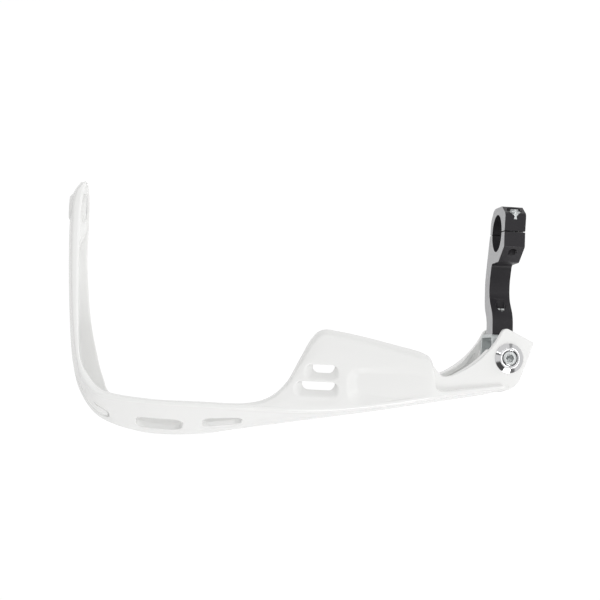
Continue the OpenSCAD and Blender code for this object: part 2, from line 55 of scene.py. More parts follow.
MM = 0.001
GRIP_REACH = 250.0
PIVOT = np.array((0.0, -74.5, -8.0))
SWIVEL = math.radians(5.0)
UP = np.array((0.0, 0.0, 1.0))
SHELL_HEIGHT = 38.0
EAR_GAP = 30.4
EAR_T = 3.5
EAR_Z = EAR_GAP / 2 + EAR_T
BROW_STEP = 1.2
STRIP_END = 4.5
TIP = np.array((
    -GRIP_REACH * math.cos(SWIVEL) + PIVOT[2] * math.sin(SWIVEL),
    -PIVOT[1],
    -GRIP_REACH * math.sin(SWIVEL) - PIVOT[2] * math.cos(SWIVEL),
))


def tip_knots(*steps):
    """Outline knots that are set out from the bar end."""
    return [(TIP[0] + x, TIP[1] + y) for x, y in steps]


# Plan outlines from the tip round the front to the ears, matched knot for knot
FOOT = tip_knots((-3, 15.4), (-7, 8.4), (-8.2, -7), (-7.2, -34), (-5.2, -64), (-2.4, -89)) + [
    (-246, -33.5), (-233, -48), (-207, -55.4), (-178, -55.2), (-154, -51), (-142.5, -48.8), (-133, -47.1),
    (-125, -45.6), (-118.5, -44.4), (-112, -43.2), (-102, -41.4), (-85, -38.2), (-66, -34.6), (-55, -32.5),
    (-48, -31.2), (-43, -30.3), (-38.5, -29.4), (-32, -28.2), (-20, -25.9), (-7.5, -23.2), (2, -19.4),
]
BROW = tip_knots((-4, 13.6), (-8.2, 6), (-8.8, -9.5), (-7.8, -36.5), (-5.4, -65.5), (-2, -87)) + [
    (-247.3, -25), (-237, -33), (-212, -35.9), (-183, -36.6), (-158, -37), (-146, -37.1), (-137, -37.2),
    (-129, -37.2), (-122, -37), (-115, -36.7), (-105, -36), (-88, -34), (-69, -30.8), (-58, -28.6),
    (-51, -27.2), (-46, -26.2), (-41.5, -25.3), (-35, -24), (-22.5, -21.6), (-9, -19.4), (0.5, -17.6),
]
RIM = tip_knots((-1.4, 14), (-3, 6), (-3.6, -9.5), (-3.2, -36), (-1.8, -65), (0, -85.5)) + [
    (-244.6, -21.6), (-234.5, -30.2), (-210, -33.5), (-182, -33.8), (-156, -33.6), (-141.5, -29.8),
    (-131.4, -20.8), (-124.1, -7), (-117.9, 5.2), (-111.8, 10.9), (-102.6, 10.6), (-85.6, 7.8), (-66.4, 3.8),
    (-54, 1), (-48, -2.4), (-45.6, -10), (-45.2, -18), (-39.6, -20.8), (-25, -18.6), (-10, -16.6),
    (-1, -15.2),
]
HEM = tip_knots((0.5, 14.5), (1.8, 7.5), (2.4, -8.5), (3, -32.5), (6.5, -62.5), (11.6, -84)) + [
    (-233.8, -23), (-228, -32.4), (-207, -36.2), (-180, -37), (-155, -36.4), (-143, -35), (-134, -33.6),
    (-126, -32.2), (-119, -30.9), (-112, -29.6), (-102, -27.4), (-86, -24), (-67, -20.4), (-56, -18.4),
    (-49, -17.2), (-44, -17), (-39, -17.2), (-33, -17), (-21, -15.5), (-9, -13.4), (0, -11.6),
]
KNOTS = len(FOOT)
# Plan corners of what is cut off past the shell's flat end
TIP_CUT = tip_knots((-16, 17.3), (-16, 40), (16, 40), (16, 11))
# How much lower the channel's half height is than at the front, and the shares of edge roll and crown
TAPER = [9.6, 8.6, 8, 6.8, 5, 3, 2, 1.2, 0.6, 0.3] + [0] * (KNOTS - 10)
ROLL = [0.4] * 10 + [0.4, 0.55, 0.7] + [1] * 8 + [0.8] * 2 + [0.4] * 4
CROWN = [0] * 11 + [math.sin(math.radians(k * 180 / 11)) for k in range(1, 11)] + [0] * 6
# Station spacing along the brow in millimetres, at these knots
SPACING = (
    (0, 4.5, 6, 8.5, 10.4, 11.4, 21.6, 23, KNOTS - 1),
    (1.9, 1.4, 1.0, 1.3, 1.3, 0.68, 0.68, 1.1, 1.1),
)
SHIELD_ENDS = (-150.0, -48.0)
# Reach of the shield's hollows along x
HOLLOW_ENDS = (-136.0, -40.0)

# How far the section's edges are rounded, and how many places round it lie on the shield's edge and top
FINE_R = 0.9
BROW_R = 2.6
BROW_IN_R = 2.5
FOOT_R = 4.0
HEM_R = 0.9
END_R = 0.9
EDGE_PLACES = (6, 4, 6)
TOP_PLACES = 60

# Openings as (knot, length, height, middle above the shell's), and vents as (x, y, length)
SLOTS = ((6.45, 28, 13, -4), (8.28, 27, 13.5, -3.8), (9.6, 23, 12, -0.5))
SLOT_CORNER = 5.0
SLOT_MIDDLE = 0.6
VENTS = ((-112.2, -13.9, 19.4), (-114.8, -23.8, 25.4))
VENT_W = 8.2
VENT_LEAN = 3.6
VENT_RAMP = 6.6

# Scoop in the shield, with corners as (x, y, radius)
SCOOP_EDGE = ((-98, -9.8, 8), (-66, -8.6, 6), (-45, -10, 3), (-44.5, -24.4, 2), (-97, -34.6, 9))
SCOOP_FLOOR = (
    (-91.8, -13.4, 4), (-62, -12.5, 5), (-46, -14, 2), (-46, -23.6, 2), (-70, -26.6, 3), (-89.8, -24, 6),
)
SCOOP_ENDS = (-90.0, -47.0)
# Share of the scoop's sloping wall that each of its two bends takes up
SCOOP_BEND = 0.1

# Ear outline, with corners as (x, y, radius), and the arcs of its rear and front edges
EAR_REAR = ((-34, -11.5), (-18, -1.7), (-6.4, 12.4))
NEAR_START = [(-48, -4.6, 0), (-40.3, -13.2, 4.6)]
FAR_START = [(-46.4, -16.2, 0)]
EAR_FRONT = ((7.6, -11.8), (5, -15.6), (0, -18.6))
HOLE_D = 5.5
SPIGOT_D = 12.2
EAR_BOSS_D = 17.0
EAR_BOSS_START = 11.0
EAR_EDGE_R = 0.55

# Lips along the ears' rear edges, the share of the edge that has one, how far each stands out on the rider's
# side, how far the near one's foot draws in, and the far one's flare at its foot
LIP_T = 2.8
LIP_DEPTH = 6.5
LIP_R = 0.7
LIP_SHARE = 0.75
LIP_OUT = (1.6, 0.05)
LIP_DRAFT = 2.0
LIP_FLARE = 7.0

# Screws, bolt, collar, bush and its boss, in millimetres
HEX_AF = 4.0
HEAD_R = 4.25
HEAD_H = 5.0
BOLT_D = 5.0
CLAMP_SCREW = dict(top=(0, 12.0, 14.3), length=16.0)
BRACKET_SCREW = dict(seat=(0, -62.5, -8.0), length=18.0, d=6.0)
PIVOT_BOLT_L = 45.0
COLLAR_H = 2.0
COLLAR_R = 8.75
BUSH_R = 5.5
BUSH_BORE_R = 3.5
FLANGE_R = 7.0
FLANGE_T = 1.5
SEAT_GAP = 0.1
TIP_BOSS_R = 8.5
TIP_BOSS_L = 10.0

# Lamps as (name, setting of its power, share of it, length and width, place, whether it is mirrored)
LAMPS = (
    ("key", "key", 1.0, (0.7, 0.3), (-0.3, 0.35, 0.75), False),
    ("rear", "strip", 1.0, (1.4, 0.05), (-0.1, 0.36, 0.8), True),
    ("hand", "strip", 0.3, (0.6, 0.04), (0.42, -0.05, 0.8), True),
    ("fill", "fill", 1.0, (0.42, 0.3), (0.19, -0.9, 0.46), True),
    ("side", "side", 1.0, (0.5, 0.3), (1.0, 0.35, 0.12), False),
)
# Dark cards round the studio that polished metal mirrors, as (azimuth, half width in degrees, darkness),
# the point of the floor plan round which they stand, and the heights between which they fade in and out
CARDS = ((78, 7, 0.5), (160, 6, 0.8), (228, 24, 0.9), (294, 11, 0.75))
CARD_CENTRE = (0.24, 0.048)
CARD_FADES = ((0.16, 0.26), (0.92, 0.84))
FLOOR_HALF = 6.0
SENSOR_WIDTH = 36.0


def settings():
    """The scene's own groups of sizes and colours."""
    return bpy.context.scene.hand_guard


def to_part(points):
    """Guard frame in millimetres to the part's frame in millimetres: turned by the swivel about y, then
    moved to the pivot."""
    c, s = math.cos(SWIVEL), math.sin(SWIVEL)
    turn = np.array(((c, 0, s), (0, 1, 0), (-s, 0, c)))
    return np.asarray(points, float) @ turn.T + PIVOT


def unit(v):
    """Each vector divided by its length."""
    return v / np.maximum(np.linalg.norm(v, axis=-1, keepdims=True), 1e-9)


def lerp(a, b, t):
    """The point that lies the share t of the way from a to b."""
    return a + (b - a) * t


def ease(x):
    """Rises smoothly from 0 to 1 as x does: three x squared less two x cubed."""
    x = np.clip(x, 0, 1)
    return x * x * (3 - 2 * x)


def spline(knots, t):
    """A smooth curve through the knots: on each span the cubic whose slope at a knot is half the step
    between that knot's two neighbours. t counts along the knots."""
    knots = np.asarray(knots, float)
    padded = np.concatenate([[2 * knots[0] - knots[1]], knots, [2 * knots[-1] - knots[-2]]])
    i = np.clip(np.floor(t).astype(int), 0, len(knots) - 2)
    f = (t - i).reshape(-1, *[1] * (knots.ndim - 1))
    a, b, c, d = padded[i], padded[i + 1], padded[i + 2], padded[i + 3]
    return b + (c - a) * f / 2 + (2 * a - 5 * b + 4 * c - d) * f**2 / 2 + (3 * b - a - 3 * c + d) * f**3 / 2


def line(p, q, n):
    """n points from p towards q, evenly spaced and without q, for every station."""
    f = (np.arange(n) / n)[None, :, None]
    return lerp(p[:, None], q[:, None], f)


def corner(p, q, r, reach, n):
    """n points round the corner q of the path p, q, r: the parabola that leaves each side at the distance
    reach from q, without its last point."""
    reach = np.broadcast_to(reach, len(q))[:, None]
    start = (q + unit(p - q) * reach)[:, None]
    end = (q + unit(r - q) * reach)[:, None]
    f = (np.arange(n) / n)[None, :, None]
    return start * (1 - f) ** 2 + 2 * q[:, None] * f * (1 - f) + end * f**2


def swept(start, angles):
    """The plan vector start, turned by each of the angles."""
    x, y = start
    return np.stack([x * np.cos(angles) - y * np.sin(angles), x * np.sin(angles) + y * np.cos(angles)], 1)


def rounded(corners, steps=10):
    """A plan outline whose corners (x, y, radius) are each rounded by an arc of steps chords."""
    corners = np.asarray(corners, float)
    points = []
    for k, (x, y, r) in enumerate(corners):
        p = np.array((x, y))
        u = unit(corners[k - 1, :2] - p)
        v = unit(corners[(k + 1) % len(corners), :2] - p)
        if r == 0:
            points.append(p[None])
            continue
        half = math.acos(np.clip(u @ v, -1, 1)) / 2
        centre = p + unit(u + v) * r / math.sin(half)
        start = p + u * r / math.tan(half) - centre
        side = -1 if u[0] * v[1] - u[1] * v[0] > 0 else 1
        a = side * (math.pi - 2 * half) * np.arange(steps + 1) / steps
        points.append(centre + swept(start, a))
    return np.concatenate(points)


def arc(p, q, r, steps=24):
    """Points of the circle's arc from p through q to r."""
    p, q, r = (np.array(v, float) for v in (p, q, r))
    a, b = q - p, r - p
    d = 2 * (a[0] * b[1] - a[1] * b[0])
    centre = p + np.array((b[1] * (a @ a) - a[1] * (b @ b), a[0] * (b @ b) - b[0] * (a @ a))) / d
    s, e = p - centre, r - centre
    sweep = math.atan2(s[0] * e[1] - s[1] * e[0], s @ e) * np.arange(steps + 1) / steps
    return centre + swept(s, sweep)


def resample(outline, count):
    """The closed outline as count points at even distances."""
    loop = np.concatenate([outline, outline[:1]])
    length = np.concatenate([[0], np.cumsum(np.linalg.norm(np.diff(loop, axis=0), axis=1))])
    at = np.arange(count) * length[-1] / count
    return np.stack([np.interp(at, length, loop[:, k]) for k in (0, 1)], 1)


def inside_depth(points, outline):
    """How far each plan point lies inside the closed outline, and below zero outside: the distance to the
    nearest side, with its sign from the winding of crossings."""
    a = outline[None]
    b = np.roll(outline, -1, 0)[None]
    p = points[:, None]
    side = b - a
    f = np.clip(((p - a) * side).sum(-1) / (side * side).sum(-1), 0, 1)
    away = np.linalg.norm(p - a - side * f[..., None], axis=-1).min(1)
    above = (a[..., 1] > p[..., 1]) != (b[..., 1] > p[..., 1])
    rise = np.where(side[..., 1] == 0, 1e-9, side[..., 1])
    x_cross = a[..., 0] + (p[..., 1] - a[..., 1]) * side[..., 0] / rise
    inside = (above & (p[..., 0] < x_cross)).sum(1) % 2 == 1
    return np.where(inside, away, -away)


def level_rise(x):
    """How far the upper edge stands above its level at the bar end's side: straight ramps between the
    shield's ends and the pivot, averaged over a few millimetres to soften their joints, and at the pivot
    a smooth step down into the near ear."""
    shifts = np.linspace(-4, 4, 9)
    ramps = ((*SHIELD_ENDS, 0), (0, settings().shell.shield_rise / MM, 0))
    sink = (BROW_STEP + 0.6) * ease((x + STRIP_END) / STRIP_END)
    return np.mean([np.interp(x + s, *ramps) for s in shifts], 0) - sink


def section_frame(t):
    """The corner points of the channel's section at each station: rim a, brow b, foot c and hem d on the
    outer skin, the inner skin's own corners, and the directions between them."""
    wall = settings().shell.wall / MM
    ahead = np.minimum(t + 0.2, KNOTS - 1)
    back = np.maximum(t - 0.2, 0)
    along = unit(spline(BROW, ahead) - spline(BROW, back))
    inward = np.stack([-along[:, 1], along[:, 0], 0 * t], 1)
    brow = spline(BROW, t)
    mid = np.where(brow[:, 0] < 0, TIP[2] * brow[:, 0] / TIP[0], 0)
    half = SHELL_HEIGHT / 2 - spline(TAPER, t)
    high = mid + half + (EAR_Z + BROW_STEP - SHELL_HEIGHT / 2) + level_rise(brow[:, 0])
    low = mid - half
    a, b, c, d = (
        np.concatenate([spline(knots, t), z[:, None]], 1)
        for knots, z in ((RIM, high), (BROW, high), (FOOT, low), (HEM, low))
    )
    down = unit(c - b)
    drop = (np.linalg.norm(c - b, axis=1) / (high - low))[:, None]
    b_in = b + down * drop * wall + inward * wall * drop
    c_in = c - down * drop * wall + inward * wall * drop
    a_in, d_in = a - UP * wall, d + UP * wall
    to_a = unit(a - b)
    crossed = ((b_in - a_in)[:, :2] * (a_in - b)[:, :2]).sum(1) < 0
    edge = np.where(crossed[:, None], b_in, a_in - to_a * 0.4)
    b_in = np.concatenate([edge[:, :2], b_in[:, 2:]], 1)
    return dict(
        a=a, b=b, c=c, d=d, a_in=a_in, b_in=b_in, c_in=c_in, d_in=d_in, inward=inward, along=along,
        top=np.linalg.norm(a - b, axis=1), base=np.linalg.norm(d - c, axis=1),
    )


def web_point(t, g):
    """A point on the front wall's outer skin at the station t and the share g of the way from brow to foot:
    the straight line between them, bulged outwards by the square of the sine."""
    s = section_frame(t)
    bulge = settings().shell.web_bulge / MM * np.sin(np.pi * g) ** 2
    return lerp(s["b"], s["c"], g[:, None]) - s["inward"] * bulge[:, None]


def chin_depth(t, g):
    """Depth of the shallow chins under the slots: each falls away below its slot's middle and ends
    smoothly at the slot's ends and at the foot."""
    depth = np.zeros(np.broadcast(t, g).shape)
    reach = arc_length()
    for knot, length, height, _ in SLOTS:
        side = np.abs(reach(t) - reach(np.array([knot]))) / (length / 2)
        window = ease((1.28 - side) / 0.36)
        fall = ease((g - SLOT_MIDDLE) / 0.22) * ease((1.02 - g) / 0.1)
        depth = np.maximum(depth, window * fall)
    return depth * settings().shell.chin_depth / MM


def arc_length():
    """Length along the front wall's middle as a function of the station."""
    t = np.linspace(0, KNOTS - 1, 1200)
    middle = (spline(BROW, t) + spline(FOOT, t)) / 2
    length = np.concatenate([[0], np.cumsum(np.linalg.norm(np.diff(middle, axis=0), axis=1))])

    def at(station):
        return np.interp(station, t, length)

    at.back = lambda distance: np.interp(distance, length, t)
    return at


def wall_share(outer, inner):
    """Share of the way down the sloping wall between two outlines, given how far a point lies inside each:
    a straight slope with a short bend at its top and at its foot."""
    x = np.clip(outer / np.maximum(outer + np.maximum(-inner, 0), 1e-6), 0, 1)
    bend = SCOOP_BEND
    low = x * x / (2 * bend)
    high = 1 - bend - (1 - x) ** 2 / (2 * bend)
    straight = x - bend / 2
    return np.where(x < bend, low, np.where(x > 1 - bend, high, straight)) / (1 - bend)


def shield_depth(points):
    """Depth of the shield's hollows at plan points: the scoop, whose floor rises steadily towards the
    ears, and a soft dip round each vent that is widest at its lower left."""
    outer = inside_depth(points, rounded(SCOOP_EDGE))
    inner = inside_depth(points, rounded(SCOOP_FLOOR))
    run = (SCOOP_ENDS[1] - points[:, 0]) / (SCOOP_ENDS[1] - SCOOP_ENDS[0])
    fall = np.where(outer > 0, wall_share(outer, inner), 0)
    depth = settings().shell.scoop_depth / MM * np.clip(run, 0, 1) * fall
    for x, y, length in VENTS:
        centre = np.array((x - 3.2, y - 1.6))
        away = np.abs(points - centre) / (length / 2 + 4.2, VENT_W / 2 + 2.6)
        away = (away**2.6).sum(1) ** (1 / 2.6)
        depth = np.maximum(depth, settings().shell.vent_dip / MM * ease((1.25 - away) / 0.6))
    return depth


def channel_grid(t):
    """Both skins of the channel as one grid [station, place round the section], from the rim's edge over
    the shield, down the front wall, along the bottom to the hem, and back on the inside. Also the numbers
    of outer places and the range of those on the shield."""
    size = settings().shell
    wall = size.wall / MM
    s = section_frame(t)
    a, b, c, d = s["a"], s["b"], s["c"], s["d"]
    to_b, to_d = unit(b - a), unit(d - c)
    down = unit(c - b)
    roll = (size.edge_roll / MM * spline(ROLL, t))[:, None]
    run = np.minimum(roll[:, 0] * 1.25, s["top"] * 0.3)[:, None]
    fine = np.minimum(FINE_R, s["top"] * 0.12)
    r_b = np.minimum(BROW_R, s["top"] * 0.4)
    r_c = np.minimum(FOOT_R, s["base"] * 0.35)
    edge = a - UP * roll
    face = a + to_b * run
    edge_low = edge - UP * wall
    hem_r = np.minimum(HEM_R, s["base"] * 0.1)

    top_start = face + to_b * fine[:, None]
    top_end = b - to_b * r_b[:, None]
    top = line(top_start, top_end, TOP_PLACES)
    place = (np.linalg.norm(top - a[:, None], axis=2) / s["top"][:, None]).clip(0, 1)
    lift = size.crown / MM * spline(CROWN, t)[:, None] * ease(place * 3) * ease((1 - place) * 3)
    top[..., 2] += lift
    near = (top[..., 0] > HOLLOW_ENDS[0]) & (top[..., 0] < HOLLOW_ENDS[1])
    dip = np.zeros(near.shape)
    dip[near] = shield_depth(top[near][:, :2])
    top[..., 2] -= dip

    web_l = np.linalg.norm(c - b, axis=1)
    g0, g1 = r_b / web_l, 1 - r_c / web_l
    g = lerp(g0[:, None], g1[:, None], np.arange(26) / 26)
    stations = np.broadcast_to(t[:, None], g.shape)
    web = web_point(stations.ravel(), g.ravel()).reshape(*g.shape, 3)
    out = unit(np.cross(down, s["along"] @ np.eye(2, 3)))
    web -= out[:, None] * chin_depth(stations, g)[..., None]

    outer = [
        corner(edge_low, edge, face, 0.8, EDGE_PLACES[0]),
        line(edge + unit(face - edge) * 0.8, face - unit(face - edge) * fine[:, None], EDGE_PLACES[1]),
        corner(edge, face, b, fine, EDGE_PLACES[2]),
        top,
        corner(a, b, c, r_b, 9),
        web,
        corner(b, c, d, r_c, 9),
        line(c + to_d * r_c[:, None], d - to_d * hem_r[:, None], 8),
        corner(c, d, s["d_in"], hem_r, 5),
    ]
    a_in, b_in, c_in, d_in = s["a_in"], s["b_in"], s["c_in"], s["d_in"]
    gap = np.linalg.norm((a_in - b_in)[:, :2], axis=1)
    r_in = np.minimum(BROW_IN_R, np.maximum(gap, 0.4) * 0.6)
    face_in = a_in + unit(b_in - a_in) * np.minimum(run, gap[:, None] * 0.25)
    fine_in = np.minimum(0.6, gap * 0.1)
    g_in = np.arange(12) / 12
    web_start = b_in + down * r_in[:, None]
    web_in = lerp(web_start[:, None], (c_in - down * r_c[:, None])[:, None], g_in[None, :, None])
    web_in = web_in - s["inward"][:, None] * (size.web_bulge / MM * np.sin(np.pi * g_in) ** 2)[None, :, None]
    inner = [
        corner(d, d_in, c_in, hem_r, 5),
        line(d_in - to_d * hem_r[:, None], c_in + to_d * r_c[:, None], 5),
        corner(d_in, c_in, b_in, r_c, 6),
        web_in[:, ::-1],
        corner(c_in, b_in, a_in, r_in, 6),
        line(b_in + unit(a_in - b_in) * r_in[:, None], face_in + unit(b_in - a_in) * fine_in[:, None], 16),
        corner(b_in, face_in, edge_low, fine_in, 4),
        line(
            face_in + unit(edge_low - face_in) * fine_in[:, None],
            edge_low + unit(face_in - edge_low) * 0.5,
            3,
        ),
        corner(face_in, edge_low, edge, 0.5, 4),
    ]
    outer_n = sum(x.shape[1] for x in outer)
    start = sum(EDGE_PLACES)
    return np.concatenate(outer + inner, 1), outer_n, (start, start + TOP_PLACES)


def stations():
    """The stations along the outlines, spaced as SPACING says."""
    t = np.linspace(0, KNOTS - 1, 4000)
    path = spline(BROW, t)
    length = np.linalg.norm(np.diff(path, axis=0), axis=1)
    count = np.concatenate([[0], np.cumsum(length / np.interp((t[1:] + t[:-1]) / 2, *SPACING))])
    return np.interp(np.linspace(0, count[-1], int(round(count[-1])) + 1), count, t)


def loop_inset(ring, ahead, amount):
    """A closed ring of section points moved into the wall by amount, square to the ring and to ahead."""
    tangent = np.roll(ring, -1, 0) - np.roll(ring, 1, 0)
    return ring + unit(np.cross(ahead, tangent)) * amount


def bent_ends(grid, radius):
    """The grid with rings added past its first and its last: they step outwards by six tenths of the sine
    and sideways by one less the cosine of an angle that grows to a right angle. Sideways is into the wall
    at the bar's end, and out of it at the pivot."""
    angles = np.radians((22, 44, 66, 90))
    ends = []
    for ring, neighbour in ((grid[0], grid[1]), (grid[-1], grid[-2])):
        out = unit((ring - neighbour).mean(0))
        ends.append([
            loop_inset(ring + out * radius * math.sin(a) * 0.6, -out, radius * (1 - math.cos(a)))
            for a in angles
        ])
    first, last = ends
    return np.concatenate([np.stack(first[::-1]), grid, np.stack(last)])


def grid_faces(rows, columns, offset=0):
    """Quads of a grid that is closed along its columns."""
    i, j = np.meshgrid(np.arange(rows - 1), np.arange(columns), indexing="ij")
    p, q = i * columns + j, i * columns + (j + 1) % columns
    return np.stack([p, q, q + columns, p + columns], -1).reshape(-1, 4) + offset


def zip_strip(outer, inner, points):
    """Triangles between two open rows of vertex numbers: at each step the row whose next point comes first
    by its share of the row's length moves on."""
    def shares(row):
        length = np.concatenate([[0], np.cumsum(np.linalg.norm(np.diff(points[row], axis=0), axis=1))])
        return length / length[-1]

    steps = np.concatenate([shares(outer)[1:], shares(inner)[1:]])
    kind = np.concatenate([np.zeros(len(outer) - 1, int), np.ones(len(inner) - 1, int)])
    kind = kind[np.argsort(steps, kind="stable")]
    i, j = np.cumsum(kind == 0), np.cumsum(kind == 1)
    first = np.where(kind == 0, outer[i - (kind == 0)], outer[i])
    second = np.where(kind == 0, outer[i], inner[j - (kind == 1)])
    return np.stack([first, second, inner[j]], 1)


def make_mesh(name, points, faces, tags=None):
    """A mesh object in metres from points in the part's frame and lists of faces, with outward faces."""
    mesh = bpy.data.meshes.new(name)
    mesh.from_pydata((points * MM).tolist(), [], faces)
    bm = bmesh.new()
    bm.from_mesh(mesh)
    if tags is not None:
        for f, tag in zip(bm.faces, tags):
            f.material_index = int(tag)
    bmesh.ops.remove_doubles(bm, verts=bm.verts, dist=1e-7)
    bmesh.ops.recalc_face_normals(bm, faces=bm.faces)
    if bm.calc_volume(signed=True) < 0:
        bmesh.ops.reverse_faces(bm, faces=bm.faces)
    bm.to_mesh(mesh)
    bm.free()
    obj = bpy.data.objects.new(name, mesh)
    bpy.context.scene.collection.objects.link(obj)
    return obj


def ringed_mesh(name, grid, place=to_part, capped=True):
    """A mesh over a grid of closed rings, with a face over its first and its last ring if it is capped."""
    rows, columns, _ = grid.shape
    faces = grid_faces(rows, columns).tolist()
    if capped:
        faces += [list(range(columns))[::-1], list(range((rows - 1) * columns, rows * columns))]
    return make_mesh(name, place(grid.reshape(-1, 3)), faces)


def channel():
    """The moulded channel as a closed mesh: the grid over all stations, closed by a strip at each end."""
    grid, outer_n, _ = channel_grid(stations())
    grid = bent_ends(grid, END_R)
    rows, columns, _ = grid.shape
    points = grid.reshape(-1, 3)
    sides = grid_faces(rows, columns)
    ends = []
    for base in (0, (rows - 1) * columns):
        outer = base + np.arange(outer_n)
        inner = base + np.concatenate([[0], np.arange(columns - 1, outer_n - 1, -1)])
        ends.append(zip_strip(outer, inner[1:], points))
    # The inner skin's faces take the second material, whose darker, warmer colour is painted shade.
    inside = (sides[:, 0] % columns) >= outer_n
    faces = sides.tolist() + ends[0].tolist() + ends[1][:, ::-1].tolist()
    tags = np.concatenate([inside, np.zeros(len(faces) - len(sides), bool)])
    return make_mesh("channel", to_part(points), faces, tags)


def outline_normals(outline):
    """Outward unit normals of a closed plan outline that runs anticlockwise."""
    step = unit(np.roll(outline, -1, 0) - np.roll(outline, 1, 0))
    return np.stack([step[:, 1], -step[:, 0]], 1)


def plate(name, outline, low, high, round_low, round_high, place=to_part):
    """A flat plate over a closed plan outline: its rim is carried from low to high and bends over both
    edges by quarter ellipses of the given radii, each a pair (inward, along z) that may vary by point."""
    area = (outline[:, 0] * np.roll(outline[:, 1], -1) - outline[:, 1] * np.roll(outline[:, 0], -1)).sum()
    outline = outline if area > 0 else outline[::-1]
    normals = outline_normals(outline)
    rings = []
    for z, radii, sign in ((low, round_low, -1), (high, round_high, 1)):
        inward, drop = (np.broadcast_to(r, len(outline)) for r in radii)
        part = []
        for a in np.radians((0, 22, 45, 68, 90)):
            plan = outline - normals * (inward * (1 - math.cos(a)))[:, None]
            part.append(np.concatenate([plan, (z - sign * drop * (1 - math.sin(a)))[:, None]], 1))
        plan = outline - normals * (inward + 0.12)[:, None]
        part.append(np.concatenate([plan, np.full((len(plan), 1), z)], 1))
        rings += part[::-1] if sign < 0 else part
    return ringed_mesh(name, np.stack(rings), place)


def turned(name, profile, place, columns=96, thread=None):
    """A turned piece: each (radius, height) of the profile is carried round the axis. thread gives (low,
    high, pitch, depth), between which the radius also falls by a triangle wave along the helix."""
    profile = np.asarray(profile, float)
    if thread:
        low, high, pitch, depth = thread
        rows = np.linspace(low, high, int(abs(high - low) / pitch * 8) + 1)
        at = np.argmin(np.abs(profile[:, 1] - (low if profile[0, 1] < profile[-1, 1] else high)))
        radius = np.interp(rows, *profile[np.argsort(profile[:, 1])].T[::-1])
        extra = np.stack([radius, rows], 1)[1:-1]
        profile = np.insert(profile, at + 1, extra, 0)
    angle = np.arange(columns) * 2 * np.pi / columns
    r = profile[:, :1] * np.ones(columns)
    z = profile[:, 1:] * np.ones(columns)
    if thread:
        phase = (z - low) / pitch - angle[None] / (2 * np.pi)
        wave = np.abs((phase % 1) * 2 - 1)
        fade = ease((z - low) / pitch) * ease((high - z) / pitch)
        r = r - depth * np.clip(wave * 1.25 - 0.12, 0, 1) * fade * ((z >= low) & (z <= high))
    grid = np.stack([r * np.cos(angle), r * np.sin(angle), z], -1)
    return ringed_mesh(name, grid, place, not np.allclose(profile[0], profile[-1]))


def applied(obj):
    """The object with its modifiers turned into its mesh."""
    bpy.context.view_layer.update()
    finished = bpy.data.meshes.new_from_object(obj.evaluated_get(bpy.context.evaluated_depsgraph_get()))
    obj.modifiers.clear()
    obj.data = finished
    return obj


def join_solids(base, others, operation):
    """base with the solids others joined to it or cut from it, as one mesh, and the others removed."""
    group = bpy.data.collections.new("solids")
    bpy.context.scene.collection.children.link(group)
    for obj in others:
        group.objects.link(obj)
    step = base.modifiers.new("solids", "BOOLEAN")
    step.operation = operation
    step.solver = "MANIFOLD"
    step.operand_type = "COLLECTION"
    step.collection = group
    applied(base)
    for obj in others:
        bpy.data.objects.remove(obj)
    bpy.data.collections.remove(group)
    return base


def smooth(obj, degrees):
    """Smooth shading with normals that follow the larger faces, apart from edges that turn by more than the
    angle."""
    mesh = obj.data
    bm = bmesh.new()
    bm.from_mesh(mesh)
    bmesh.ops.dissolve_degenerate(bm, dist=1e-5, edges=bm.edges)
    bm.to_mesh(mesh)
    bm.free()
    mesh.polygons.foreach_set("use_smooth", np.ones(len(mesh.polygons), bool))
    mesh.set_sharp_from_angle(angle=math.radians(degrees))
    step = obj.modifiers.new("normals", "WEIGHTED_NORMAL")
    step.keep_sharp = True
    step.weight = 80
    return applied(obj)


def tube_through(name, place, half_l, half_w, radius, levels):
    """A cutting shape through a wall: a rounded rectangle, carried along the wall's normal. Each level gives
    (depth, growth, shift along, shift across, shrink of the length), and place turns plan points on the skin
    into points and normals."""
    rings = []
    for depth, grow, dx, dy, shrink in levels:
        x, y = half_l + grow - shrink, half_w + grow
        r = min(radius + grow, x, y)
        plan = rounded([(-x, -y, r), (x, -y, r), (x, y, r), (-x, y, r)], 12)
        point, normal = place(plan[:, 0] + dx, plan[:, 1] + dy)
        rings.append(point + normal * depth)
    grid = np.stack(rings)
    rows, columns, _ = grid.shape
    middle = grid[[0, -1]].mean(1)
    points = np.concatenate([grid.reshape(-1, 3), middle])
    faces = grid_faces(rows, columns).tolist()
    j = np.arange(columns)
    for base, centre in ((0, rows * columns), ((rows - 1) * columns, rows * columns + 1)):
        faces += np.stack([base + j, base + (j + 1) % columns, np.full(columns, centre)], 1).tolist()
    return make_mesh(name, to_part(points), faces)


def flare_levels(wall, radius, side=0.6):
    """Levels of a plain opening: a quarter round at the outer mouth, a straight wall and a small quarter
    round at the inner mouth."""
    levels = [(1.4, radius + 1.2, 0, 0, 0), (0.04, radius + 0.06, 0, 0, 0)]
    for a in np.radians((10, 25, 40, 55, 72, 90)):
        levels.append((-radius * (1 - math.cos(a)), radius * (1 - math.sin(a)), 0, 0, 0))
    for a in np.radians((90, 60, 30, 8)):
        levels.append((-wall + side * (1 - math.cos(a)), side * (1 - math.sin(a)), 0, 0, 0))
    levels.append((-wall - 1.6, side + 0.6, 0, 0, 0))
    return levels


